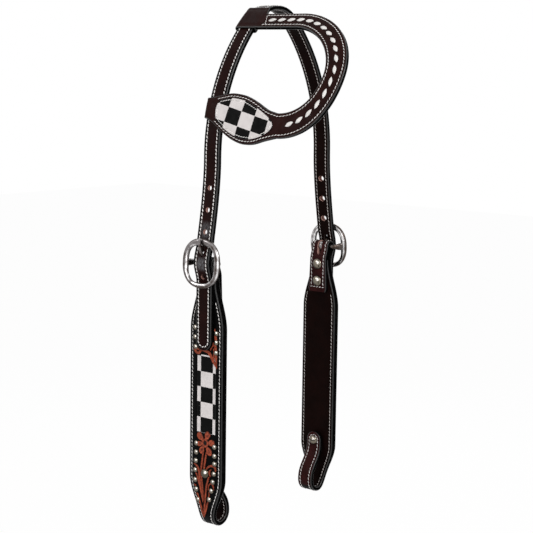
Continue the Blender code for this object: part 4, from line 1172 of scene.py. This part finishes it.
for side_name, side in SIDES:
    outward = Vector((0, side, 0))
    bar_centre = Vector((0, side * bar_offset, -bar_drop))
    frame_piece = ring_skin("frame", *frame_rings(side), frame_finish, True)
    bar_line = bar_rings(side)
    # Painted reflection: a bright band round the bar, dark elsewhere.
    bar_reflection_paint = [0.85 - 0.75 * max(0, math.sin(2 * math.pi * i / 20 + 0.4)) ** 2 for i in range(20)]
    bar_piece = ring_skin("bar", bar_line, [bar_reflection_paint] * len(bar_line), frame_finish, False)
    buckle = joined(side_name + "_cast_buckle_frame", [frame_piece, bar_piece])
    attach(buckle, "headstall")
    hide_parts(side_name + "_buckle_frame")
    hub_inner = bar_radius + working_gap
    hub_outer = fold_outer - 0.0008
    hub_rings = []
    soft = 0.00045
    for index in range(40):
        turn = 2 * math.pi * index / 40
        out = outward * math.cos(turn) + up * math.sin(turn)
        hub_rings.append([bar_centre + across_x * x + out * radius for x, radius in
                          ((-tongue_hub_half, hub_inner), (tongue_hub_half, hub_inner),
                           (tongue_hub_half, hub_outer - soft), (tongue_hub_half - soft * 0.4, hub_outer - soft * 0.3),
                           (tongue_hub_half - soft, hub_outer), (-tongue_hub_half + soft, hub_outer),
                           (-tongue_hub_half + soft * 0.4, hub_outer - soft * 0.3),
                           (-tongue_hub_half, hub_outer - soft))])
    # Painted reflection: the hub dark in its bore, bright on its outer face.
    hub = ring_skin("hub", hub_rings, [[0.8, 0.8, 0.4, 0.2, 0.1, 0.1, 0.2, 0.4]] * 40, tongue_finish, True)
    rim_front = rim_stand + frame_depth / 2 + working_gap + tongue_radius
    rim_top = frame_height / 2 + tongue_overhang
    root = (hub_inner + hub_outer) / 2 * math.sqrt(0.5)
    corners = [(root, root), (rim_front * 0.87, rim_front * 0.87), (rim_front, rim_front * 1.3), (rim_front, rim_top)]
    line = [Vector(first).lerp(Vector(second), step / 12) for first, second in zip(corners, corners[1:])
            for step in range(12)] + [Vector(corners[-1])]
    for _ in range(9):
        line = [line[0]] + [(a + b * 2 + c) / 4 for a, b, c in zip(line, line[1:], line[2:])] + [line[-1]]
    arm_rings = []
    arm_reflection_paint = []
    for index, point in enumerate(line):
        slope = (line[min(index + 1, len(line) - 1)] - line[max(index - 1, 0)]).normalized()
        share = index / (len(line) - 1)
        to_tip = min(1, (1 - share) / 0.09)
        radius = tongue_radius * max(0.25, math.sqrt(1 - (1 - to_tip) ** 2))
        thin = outward * -slope.y + up * slope.x
        centre = bar_centre + outward * point.x + up * point.y
        arm_rings.append(rod_ring(centre, across_x * (1.2 - 0.35 * share), thin, radius, 14))
        # Painted reflection: the tongue darker from its root, bright towards its tip.
        arm_reflection_paint.append([0.45 * (1 - eased((share - 0.6) / 0.3))] * 14)
    arm = ring_skin("arm", arm_rings, arm_reflection_paint, tongue_finish, False)
    tongue = joined(side_name + "_buckle_tongue", [hub, arm])
    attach(tongue, side_name + "_tongue")
    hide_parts(side_name + "_tongue")

# Cheeks: a black face of tooling leather that starts as a brown back tab, folds over the buckle's bar, hangs as
# the wide front, turns up below as the bit loop and ends as a brown tail; and a dark lining behind it all.
cheek_width = 0.0374
cheek_face_thickness = 0.003
cheek_lining_thickness = 0.0032
seam_plane = 0.00155
half_seam = 0.00015
neck_width = 0.0182
neck_tab_width = 0.0208
neck_tab_length = 0.043
neck_start = 0.012
neck_end = 0.058
lining_top = 0.0128
tail_width = 0.016
tail_thickness = 0.0019
tab_depth = 0.0052
tail_seam_depth = 0.00725
loop_drop = 0.2335
loop_leave = 0.219
loop_bottom_depth = 0.0105
loop_bulge = 0.0205
loop_bulge_drop = 0.2235
loop_join = 0.1905
screw_drop = 0.187
taper_start = 0.191
taper_end = 0.230
cheek_seam_inset = 0.0030
front_seam_start = 0.033
lining_seam_start = 0.0305
lining_seam_stop = 0.012
tab_seam_side = 0.0068
tab_seam_low = 0.0045
tongue_slot_rise = 0.001
tongue_slot_gap = 0.0004
tongue_slot_half_length = 0.0085
tongue_slot_reach = 0.02
bend_steps = 12
fold_steps = 20
front_steps = 110
cheek_black = (0.0016, 0.0015, 0.0016)
tab_brown = (0.033, 0.0070, 0.0068)


def cheek_half_width(drop):
    """Half the cheek's width at a drop below the bar."""
    full = neck_width + (cheek_width - neck_width) * eased((drop - neck_start) / (neck_end - neck_start))
    return (full + (tail_width - full) * eased((drop - taper_start) / (taper_end - taper_start))) / 2


def skived(thickness, drop):
    """A layer's thickness, which is pared down to the tail's where the cheek tapers."""
    return thickness + (tail_thickness - thickness) * eased((drop - taper_start) / (taper_end - taper_start))


loop_line = bezier_points((-seam_plane, -loop_leave), (0, -(loop_drop - loop_leave) * 0.62),
                          (-loop_bottom_depth, -loop_drop), (-(loop_bottom_depth - seam_plane) * 0.5, 0), 16)
loop_line += bezier_points((-loop_bottom_depth, -loop_drop), (-(loop_bulge - loop_bottom_depth) * 0.6, 0),
                           (-loop_bulge, -loop_bulge_drop), (0, (loop_drop - loop_bulge_drop) * 0.55), 16)
loop_rise = loop_bulge_drop - loop_join
loop_line += bezier_points((-loop_bulge, -loop_bulge_drop), (0, loop_rise * 0.45), (-tail_seam_depth, -loop_join),
                           (0, loop_rise * 0.45), 20)


def loop_half_width(index):
    """Half the loop's width: the cheek's own taper to the bottom, and the tail's width after it."""
    return cheek_half_width(-loop_line[index][0].y) if index < 15 else tail_width / 2


def cheek_station(side, depth, height, normal, half, inner, outer):
    """A station of a cheek layer: depth out from the bar, height from the bar, and the way its grain faces."""
    return (Vector((0, side * (bar_offset + depth), height - bar_drop)), across_x,
            Vector((0, side * normal[0], normal[1])).normalized(), half, inner, outer)


def tail_tip(side, inner, outer):
    """The round end of the tail, above the screw."""
    found = []
    for step in range(15):
        turn = math.pi / 2 * step / 14.6
        found.append(cheek_station(side, -tail_seam_depth, -screw_drop + tail_width / 2 * math.sin(turn), (-1, 0),
                                   tail_width / 2 * math.cos(turn), inner, outer))
    return found


def cheek_face_stations(side):
    """The face, from the end of the back tab over the fold, down the front and round the loop to the tail."""
    thick = cheek_face_thickness
    found = []
    for step in range(31):
        drop = neck_tab_length + (lining_top - neck_tab_length) * step / 30
        half = (neck_tab_width + (neck_width - neck_tab_width) * step / 30) / 2
        corner = min(1, step / 3)
        found.append(cheek_station(side, -tab_depth, -drop, (-1, 0), half - 0.0012 * (1 - corner) ** 2, 0, thick))
    rise = lining_top / 2.4
    for point, slope in bezier_points((-tab_depth, -lining_top), (0, rise), (-fold_radius, 0), (0, rise), bend_steps):
        found.append(cheek_station(side, point.x, point.y, (-slope.y, slope.x), neck_width / 2, 0, thick))
    for step in range(1, fold_steps + 1):
        turn = math.pi * (1 - step / fold_steps)
        out = (math.cos(turn), math.sin(turn))
        found.append(cheek_station(side, fold_radius * out[0], fold_radius * out[1], out, neck_width / 2, 0, thick))
    for point, slope in bezier_points((fold_radius, 0), (0, -rise), (-seam_plane, -lining_top), (0, -rise),
                                      bend_steps):
        found.append(cheek_station(side, point.x, point.y, (-slope.y, slope.x), cheek_half_width(-point.y),
                                   seam_gap, thick + half_seam))
    front = [lining_top + (loop_leave - lining_top) * step / front_steps
             for step in range(1, front_steps + 1)]
    for drop in front:
        found.append(cheek_station(side, -seam_plane, -drop, (1, 0), cheek_half_width(drop), seam_gap,
                                   half_seam + skived(thick, drop)))
    for index, (point, slope) in enumerate(loop_line):
        found.append(cheek_station(side, point.x, point.y, (-slope.y, slope.x), loop_half_width(index), seam_gap,
                                   half_seam + tail_thickness))
    return found + tail_tip(side, seam_gap, half_seam + tail_thickness)


def cheek_lining_stations(side):
    """The lining, from the top of the neck down and round the inside of the bit loop."""
    drops = [lining_top + (loop_leave - lining_top) * step / 111 for step in range(112)]
    found = [cheek_station(side, -seam_plane, -drop, (1, 0), cheek_half_width(drop),
                           -half_seam - skived(cheek_lining_thickness, drop), 0) for drop in drops]
    for index, (point, slope) in enumerate(loop_line):
        found.append(cheek_station(side, point.x, point.y, (-slope.y, slope.x), loop_half_width(index),
                                   -half_seam - tail_thickness, 0))
    return found + tail_tip(side, -half_seam - tail_thickness, 0)


face_layout = cheek_face_stations(1)
face_reached = station_lengths(face_layout)
tab_count = 31
fold_top = face_reached[tab_count + bend_steps + fold_steps // 2]
front_first = tab_count + bend_steps + fold_steps + bend_steps
loop_first = front_first + front_steps
tail_from = face_reached[loop_first + 26]


def front_distance(drop):
    """Distance along the face where its front is at a drop below the bar."""
    share = (drop - lining_top) / (loop_leave - lining_top) * front_steps
    i = front_first - 1 + min(max(int(share), 0), front_steps - 1)
    return face_reached[i] + (face_reached[i + 1] - face_reached[i]) * (share - int(share))


panel_low_x = -0.0103
panel_high_x = 0.0115
panel_top = 0.081
panel_bottom = 0.1507
panel_sink = 0.0005


cheek_finish = tanned("cheek_leather", tab_brown, ((fold_top - 0.0035, fold_top + 0.001, cheek_black),
                                                   (tail_from - 0.001, tail_from + 0.001, tab_brown)),
                      gloss=0.38, shine=0.03)
for side_name, side in SIDES:
    outward = Vector((0, side, 0))
    face_stations = cheek_face_stations(side)
    face = hide_from_stations(side_name + "_sewn_cheek_face", face_stations, unbent, True, cheek_seam_inset,
                              cheek_finish)
    bar_centre = Vector((0, side * bar_offset, -bar_drop))
    slot_holes = [(bar_centre + up * tongue_slot_rise, outward, up, tongue_hub_half + tongue_slot_gap,
                   tongue_slot_half_length, tongue_slot_reach)]
    punched(face, slot_holes, hole_finish)
    lining_stations = cheek_lining_stations(side)
    lining = hide_from_stations(side_name + "_sewn_cheek_lining", lining_stations, unbent, False, cheek_seam_inset,
                                lining_finish)
    for layer, node, slot in ((face, "_cheek_face", "black_leather"), (lining, "_cheek_lining", "dark_lining")):
        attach(layer, side_name + "_cheek")
        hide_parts(side_name + node)
    rows = []
    reached = station_lengths(face_stations)
    start = front_distance(front_seam_start)
    tail_start = reached[-15]
    for edge in (-1, 1):
        line = edge_line(face_stations, reached, edge, start, tail_start, cheek_seam_inset)
        rows += spaced(on_layer(face_stations, reached, unbent, True, line), stitch_pitch)
    reach = tail_width / 2 - cheek_seam_inset
    arc = [(-reach * math.cos(math.pi * step / 20), tail_start + reach * math.sin(math.pi * step / 20))
           for step in range(21)]
    rows += spaced(on_layer(face_stations, reached, unbent, True, arc), stitch_pitch)
    tab_low = reached[0] + tab_seam_low
    tab_line = [(-tab_seam_side, tab_low + (fold_top - tab_low) * (1 - step / 60)) for step in range(61)]
    tab_line += [(-tab_seam_side + 2 * tab_seam_side * step / 12, tab_low) for step in range(1, 13)]
    tab_line += [(tab_seam_side, tab_low + (fold_top - tab_low) * step / 60) for step in range(1, 61)]
    rows += spaced(on_layer(face_stations, reached, unbent, True, tab_line), stitch_pitch)
    cheek_thread = instanced(side_name + "_cheek_stitches", stitches, rows, fine_settings)
    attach(cheek_thread, side_name + "_cheek")
    rows = []
    lining_reached = station_lengths(lining_stations)
    lining_end = lining_reached[-15] - lining_seam_stop
    for edge in (-1, 1):
        line = edge_line(lining_stations, lining_reached, edge, lining_seam_start, lining_end,
                         cheek_seam_inset)
        rows += spaced(on_layer(lining_stations, lining_reached, unbent, False, line), stitch_pitch)
    lining_thread = instanced(side_name + "_cheek_lining_stitches", stitches, rows, lining_settings)
    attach(lining_thread, side_name + "_cheek")

# Checked panels: the same printed leather, let flush into a window in each cheek's face. One whole column of
# squares stands between two part columns.
panel_thickness = 0.0005
panel_gap = 0.00015
window_reach = 0.004
check_pitch = 0.0136
check_column = 0.0140
check_left_border = -0.0059
check_first_row = 0.0688


def block(name, xs, depths, heights, maps, surface):
    """A block to cut with, between two places along x, in depth and in height."""
    corners = [(xs[a], depth, heights[b]) for depth in depths for a, b in ((0, 0), (1, 0), (1, 1), (0, 1))]
    faces = [(0, 1, 2, 3), (7, 6, 5, 4), (0, 4, 5, 1), (1, 5, 6, 2), (2, 6, 7, 3), (3, 7, 4, 0)]
    return skin_over(name, corners, faces, maps, surface)


def window_cut(face, side):
    """Cut the panel's window into a face."""
    low = bar_offset + cheek_front - panel_sink
    cut_away(face, block("window", (panel_low_x, panel_high_x), (side * low, side * (low + window_reach)),
                         (-bar_drop - panel_top, -bar_drop - panel_bottom), {"lay": None, "rim": None}, lining_finish))


panel_finish = checked("checked_cheek_leather", (check_left_border, check_left_border + check_column),
                       check_first_row, check_pitch, 0)
for side_name, side in SIDES:
    window_cut(bpy.data.objects[side_name + "_sewn_cheek_face"], side)
    middle = (panel_low_x + panel_high_x) / 2
    half = (panel_high_x - panel_low_x) / 2 - panel_gap
    panel_rows = []
    for step in range(41):
        drop = panel_top + panel_gap + (panel_bottom - panel_top - 2 * panel_gap) * step / 40
        panel_rows.append((Vector((middle, side * (bar_offset + cheek_front - panel_sink), -bar_drop - drop)), across_x,
                           Vector((0, side, 0)), half, 0.00002, panel_thickness))
    panel = hide_from_stations(side_name + "_checked_panel", panel_rows, unbent, True, 0.002, panel_finish)
    flat = panel.data.uv_layers.new(name="flat")
    for loop in panel.data.loops:
        place = panel.data.vertices[loop.vertex_index].co
        flat.data[loop.index].uv = (place.x, -bar_drop - place.z)
    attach(panel, side_name + "_cheek")
    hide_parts(side_name + "_cheek_panel")

# Tooling: a flower on two stems with long leaves below, and a scroll round the strap's end above. Each is carved
# into the face, raised by bevelling the ground down beside it, dyed rust and left darker in its cuts.
rust = (0.31, 0.060, 0.027)
rust_dark = (0.115, 0.022, 0.012)
carving_lift = 0.0008
petal_vein = 0.55


def carved_finish():
    """Rust-dyed carved leather: lighter along its raised middle, dark in the knife cuts at its sides."""
    made, tree, shader, place = blank_finish("rust_carved_leather")
    cloud = ranged(tree, noise(tree, place, 620, 5, 0.65), 0.3, 0.7)
    deep = both(tree, "ADD", map_parts(tree, "cut")["X"],
                ranged(tree, noise(tree, place, 900, 4, 0.6), 0.3, 0.7, -0.3, 0.3))
    tone = mixed(tree, cloud, scaled(rust, 0.4), scaled(rust, 1.45))
    cut = mixed(tree, ranged(tree, deep, 0.2, 0.75), tone, rust_dark)
    fill(tree, shader, {"Base Color": mixed(tree, ranged(tree, deep, 0.8, 1.05), cut, edge_black), "Roughness": 0.5,
                        "Specular IOR Level": 0.12})
    bumped(tree, shader, noise(tree, place, 1700, 3), 0.25, 0.00012,
           bumped(tree, shader, noise(tree, place, 500, 3), 0.3, 0.0002))
    return made


def flowing(points, count):
    """A smooth line through points of (x, drop, half width)."""
    rows = [points[0]] + list(points) + [points[-1]]
    found = []
    for i in range(1, len(rows) - 2):
        for step in range(count if i < len(rows) - 3 else count + 1):
            t = step / count
            found.append([0.5 * ((2 * b) + (c - a) * t + (2 * a - 5 * b + 4 * c - d) * t * t
                                 + (3 * b - a - 3 * c + d) * t ** 3)
                          for a, b, c, d in zip(rows[i - 1], rows[i], rows[i + 1], rows[i + 2])])
    return found


# Across a carved stroke: share of its half width, share of its height, and how deep in the cut it is.
stroke_section = ((-1.0, -0.5, 1.0), (-0.93, 0.4, 0.8), (-0.72, 0.9, 0.25), (-0.42, 1.0, 0.0), (-0.1, 0.72, 0.5),
                  (0.1, 0.72, 0.5), (0.42, 1.0, 0.0), (0.72, 0.9, 0.25), (0.93, 0.4, 0.8), (1.0, -0.5, 1.0),
                  (0.0, -0.9, 1.0))
# A carved petal or bud from its cut outline to its cupped middle: share of its size, share of its height, depth.
petal_levels = ((1.0, -0.9, 1.0), (1.0, -0.4, 1.1), (0.94, 0.5, 0.9), (0.84, 1.05, 0.35), (0.70, 1.0, 0.0),
                (0.50, 0.8, 0.15), (0.28, 0.6, 0.45), (0.08, 0.55, 0.65))


def carved_stroke(points, lift=1.0):
    """Rings and depths of one raised stroke, given in millimetres across, down and half width."""
    line = flowing([(x * 0.001, drop * 0.001, half * 0.001) for x, drop, half in points], 7)
    rings = []
    for index, (x, drop, half) in enumerate(line):
        before, after = line[max(index - 1, 0)], line[min(index + 1, len(line) - 1)]
        run = Vector((after[0] - before[0], after[1] - before[1])).normalized()
        beside = Vector((-run.y, run.x))
        rings.append([(x + beside.x * half * a, drop + beside.y * half * a, height * carving_lift * lift * min(
            1, half / 0.0006), deep) for a, height, deep in stroke_section])
    return rings


def carved_petal(centre, half_long, half_wide, turn, dark, egg=0.28, levels=petal_levels):
    """Rings of one petal or bud: egg-shaped, with a rolled edge round a cupped middle that is more or less dark."""
    rings = []
    for share, height, deep in levels:
        ring = []
        for step in range(22):
            angle = 2 * math.pi * step / 22
            along = half_long * math.cos(angle) * share
            beside = half_wide * math.sin(angle) * (1 + egg * math.cos(angle)) * share
            ring.append(((centre[0] + along * math.cos(turn) - beside * math.sin(turn)) * 0.001,
                         (centre[1] + along * math.sin(turn) + beside * math.cos(turn)) * 0.001,
                         height * carving_lift,
                         deep * (dark if share < 0.6 else 1) + petal_vein * max(0, math.sin(5 * angle)) ** 2 * share))
        rings.append(ring)
    return rings


def tooled_piece(name, side, strokes, surface):
    """All the carving of one cheek as one piece, on the face's outer side."""
    points = []
    depths = []
    faces = []
    for rings in strokes:
        faces += tube_faces(len(rings), len(rings[0]), len(points))
        for ring in rings:
            for x, drop, height, deep in ring:
                thin = cheek_face_thickness - skived(cheek_face_thickness, drop)
                points.append((x, side * (bar_offset + cheek_front - thin + height), -bar_drop - drop))
                depths.append((deep, 0))
    return skin_over(name, points, faces, {"cut": depths}, surface)


# Petals: centre across and down, half length, half width, in millimetres, and how dark the cupped middle is.
flower_centre = (0.1, 159.4)
petals = ((-5.6, 154.4, 4.6, 3.3, 0.7), (2.6, 152.6, 4.4, 3.2, 1.0), (7.1, 158.3, 4.3, 3.1, 0.6),
          (4.4, 166.0, 4.8, 3.2, 0.9), (-3.5, 165.8, 4.5, 3.0, 1.4), (-5.9, 160.9, 3.9, 2.5, 0.8))
eye_levels = ((1.0, -0.9, 1.0), (1.0, -0.3, 1.0), (0.95, 0.7, 0.6), (0.84, 1.3, 0.05), (0.66, 1.35, 0.0),
              (0.50, 0.9, 0.45), (0.42, 0.35, 1.2), (0.1, 0.5, 1.2))
strokes = [carved_petal((x, drop), half_long, half_wide,
                        math.atan2(drop - flower_centre[1], x - flower_centre[0]), dark)
           for x, drop, half_long, half_wide, dark in petals]
strokes.append(carved_petal(flower_centre, 4.4, 4.2, math.pi / 2, 1, 0, eye_levels))
carved_lines = (
    ((-2.2, 168.5, 0.7), (-3.0, 174.0, 0.95), (-3.9, 180.0, 0.95), (-4.4, 185.5, 0.9), (-3.6, 194.0, 0.9),
     (-2.6, 203.0, 0.9), (-2.2, 212.0, 0.7)),
    ((1.6, 167.6, 0.7), (0.8, 172.0, 0.95), (-0.3, 178.0, 0.95), (-1.1, 184.0, 0.8)),
    ((-13.4, 180.0, 0.3), (-10.0, 181.2, 0.9), (-7.6, 184.2, 1.2), (-6.4, 190.0, 1.2), (-5.2, 199.8, 1.1),
     (-3.6, 208.0, 0.8), (-2.6, 214.0, 0.4)),
    ((-11.6, 187.4, 0.3), (-9.0, 190.4, 0.9), (-6.9, 195.7, 1.1), (-4.8, 203.0, 0.9), (-3.3, 210.0, 0.4)),
    ((1.0, 185.8, 0.4), (2.4, 181.8, 0.8), (5.5, 179.4, 1.0), (9.4, 178.6, 1.1), (12.0, 180.2, 1.0),
     (12.3, 183.2, 0.5)),
    ((7.6, 181.9, 0.4), (5.4, 184.0, 0.9), (5.5, 186.8, 0.9), (6.8, 188.6, 0.4)),
    ((4.6, 189.2, 0.5), (3.6, 192.5, 0.95), (1.8, 198.3, 1.0), (0.5, 208.0, 1.0), (-0.9, 218.0, 0.9),
     (-2.1, 226.6, 0.5)),
    ((-8.2, 207.6, 0.4), (-6.6, 213.0, 0.95), (-4.2, 220.6, 1.1), (-2.4, 226.4, 0.5)),
    ((3.6, 211.4, 0.4), (1.9, 216.5, 0.95), (-0.4, 223.0, 0.9), (-1.6, 227.0, 0.4)),
    ((3.9, 201.5, 0.3), (4.5, 197.2, 0.6), (6.8, 195.0, 0.7), (9.6, 196.3, 0.7), (10.4, 200.0, 0.3)),
    ((-12.6, 198.4, 0.35), (-11.6, 199.4, 0.7), (-10.2, 199.7, 0.3)),
    ((-9.8, 206.2, 0.4), (-8.8, 207.2, 0.9), (-7.9, 208.4, 0.4)),
    ((4.6, 202.4, 0.3), (4.9, 205.4, 0.8), (3.9, 208.0, 0.4)),
    ((-14.2, 76.9, 0.4), (-11.8, 79.0, 1.2), (-9.0, 80.3, 1.4), (-6.6, 79.0, 1.1), (-5.0, 76.8, 0.5)),
    ((-12.9, 79.2, 0.3), (-10.6, 76.8, 0.9), (-8.2, 77.0, 0.8), (-7.0, 78.4, 0.3)),
    ((-5.4, 76.6, 0.5), (-1.6, 77.4, 1.0), (2.4, 77.9, 1.5), (5.8, 81.0, 1.7), (8.8, 85.6, 1.5), (11.9, 90.4, 0.3)),
    ((10.2, 56.6, 0.3), (10.6, 61.0, 1.1), (11.3, 66.0, 1.5), (10.9, 71.2, 1.4), (11.4, 76.4, 1.3),
     (11.6, 81.2, 1.3), (12.0, 87.0, 0.8), (12.4, 91.4, 0.3)),
    ((9.6, 84.6, 0.4), (9.2, 80.6, 0.9), (9.9, 77.2, 0.9), (8.6, 74.0, 0.4)),
    ((5.4, 76.2, 0.3), (6.1, 73.4, 1.0), (8.2, 71.2, 1.0), (8.8, 68.6, 0.3)),
)
strokes += [carved_stroke(line) for line in carved_lines]
tooled_finish = carved_finish()
for side_name, side in SIDES:
    tooling = tooled_piece(side_name + "_carved_flower_and_scroll", side, strokes, tooled_finish)
    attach(tooling, side_name + "_cheek")

# Spots, rivets and screws: cast domes of nickel-plated brass with an antique finish, dark in their low places and
# rubbed bright on top, with painted shade on their lower left and a painted highlight on their upper right. The spots'
# prongs are set through the face; rivets hold the neck; a screw holds the loop.
# Colour of the painted highlight on the domes.
antique_painted_highlight = (0.74, 0.71, 0.66)
antique_bright = (0.185, 0.162, 0.128)
antique_screw = (0.095, 0.082, 0.058)
antique_dark = (0.028, 0.021, 0.016)
spot_radius = 0.0025
spot_height = 0.0015
rivet_drops = (0.0166, 0.0328)
rivet_radius = 0.0050
rivet_height = 0.0025
screw_radius = 0.0044
screw_height = 0.0026
slot_floor = 0.0019
slot_half_length = 0.006
slot_half_width = 0.00045
dome_skirt = 0.0008
tail_back = 0.0093
upper_spots = ((-0.0124, 0.0580), (-0.0124, 0.0665), (-0.0120, 0.0752), (0.0116, 0.0605), (0.0116, 0.0686),
               (0.0116, 0.0776))
lower_spots = ((-0.0104, 0.1613), (-0.0106, 0.1694), (-0.0109, 0.1772), (-0.0116, 0.1857), (-0.0116, 0.1946),
               (-0.0104, 0.2030), (-0.0086, 0.2122), (0.0105, 0.1613), (0.0107, 0.1694), (0.0108, 0.1765),
               (0.0102, 0.1855), (0.0090, 0.1930), (0.0072, 0.2014), (0.0046, 0.2098))


def antique_finish(name, bright):
    """Antiqued nickel: bright on top and brown-black in the low rim, with painted shade darkening the lower left, a
    painted highlight at the upper right, and fine pitting all over.
    """
    made, tree, shader, place = blank_finish(name)
    depth = map_parts(tree, "depth")
    low = both(tree, "ADD", depth["X"], ranged(tree, noise(tree, place, 520, 4, 0.6), 0.3, 0.7, -0.12, 0.2))
    tone = mixed(tree, ranged(tree, low, 0.25, 0.95), bright, antique_dark)
    fill(tree, shader, {"Base Color": mixed(tree, ranged(tree, depth["Y"], 0.1, 0.75), tone, antique_painted_highlight),
                        "Metallic": 1, "Roughness": ranged(tree, low, 0.0, 1.0, 0.12, 0.4)})
    bumped(tree, shader, noise(tree, place, 1500, 3), 0.12, 0.00012)
    return made


def dome_rings(centre, direction, radius, height, count):
    """Rings of a domed head, from its sunk skirt to the top."""
    second = direction.cross(across_x).normalized()
    turns = [math.pi / 2 * step / 8 for step in range(1, 8)]
    profile = [(-dome_skirt, 0.90), (0.0, 0.97), (0.10 * height, 1.0)]
    profile += [((0.10 + 0.90 * math.sin(turn)) * height, math.cos(turn)) for turn in turns] + [(height, 0.04)]
    return [rod_ring(centre + direction * at, across_x, second, radius * out, count) for at, out in profile]


def domed(name, domes, surface, count):
    """Domed heads as one piece: centre, direction, radius, height. The layout holds how low each point is, plus painted
    shade to the lower left, and how near it is to the painted highlight at the upper right.
    """
    points = []
    faces = []
    low = []
    for centre, direction, radius, height in domes:
        rings = dome_rings(centre, direction, radius, height, count)
        faces += tube_faces(len(rings), count, len(points))
        for index, ring in enumerate(rings):
            points += ring
            for point in ring:
                dx, dz = (point.x - centre.x) / radius, (point.z - centre.z) / radius
                # Darker towards the rim and, as painted shade, towards the lower left; the second number places the
                # painted highlight.
                low.append((0.95 - index / 10 - 0.5 * (dx + dz), 1 - math.hypot(dx - 0.34, dz - 0.36) / 0.5))
    return skin_over(name, points, faces, {"depth": low}, surface)


nickel_finish = antique_finish("antiqued_nickel", antique_bright)
screw_finish = antique_finish("antiqued_screw", antique_screw)
for side_name, side in SIDES:
    outward = Vector((0, side, 0))
    body = side_name + "_cheek"
    spot_domes = []
    for x, drop in upper_spots + lower_spots:
        depth = cheek_front - (cheek_face_thickness - skived(cheek_face_thickness, drop))
        spot_domes.append((Vector((x, side * (bar_offset + depth), -bar_drop - drop)), outward, spot_radius,
                           spot_height))
    spots = domed(side_name + "_domed_spots", spot_domes, nickel_finish, 20)
    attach(spots, body)
    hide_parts(*[f"{side_name}_cheek_spot_{index + 1:02d}" for index in range(18)])
    for place, drop in zip(("upper", "lower"), rivet_drops):
        seat_place = Vector((0, side * (bar_offset - tab_depth - cheek_face_thickness), -bar_drop - drop))
        cap = domed(f"{side_name}_{place}_rivet_cap", [(seat_place, -outward, rivet_radius, rivet_height)],
                    nickel_finish, 40)
        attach(cap, body)
        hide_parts(f"{side_name}_neck_rivet_{place}")
    thin = cheek_face_thickness - skived(cheek_face_thickness, screw_drop)
    screw_height_here = -bar_drop - screw_drop
    post_place = Vector((0, side * (bar_offset + cheek_front - thin), screw_height_here))
    post = domed(side_name + "_screw_post_dome", [(post_place, outward, screw_radius, screw_height)], screw_finish, 48)
    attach(post, body)
    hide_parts(side_name + "_bit_screw_post")
    head_place = Vector((0, side * (bar_offset - tail_back), screw_height_here))
    head = domed(side_name + "_slotted_bit_screw", [(head_place, -outward, screw_radius, screw_height)],
                 nickel_finish, 48)
    low_cut = bar_offset - tail_back - slot_floor
    cut_away(head, block("driver_slot", (-slot_half_length, slot_half_length),
                         (side * low_cut, side * (low_cut - 0.003)),
                         (screw_height_here - slot_half_width, screw_height_here + slot_half_width),
                         {"depth": [(1, 0)] * 8}, nickel_finish), "INDEX")
    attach(head, side_name + "_bit_screw")
    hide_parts(side_name + "_bit_screw")
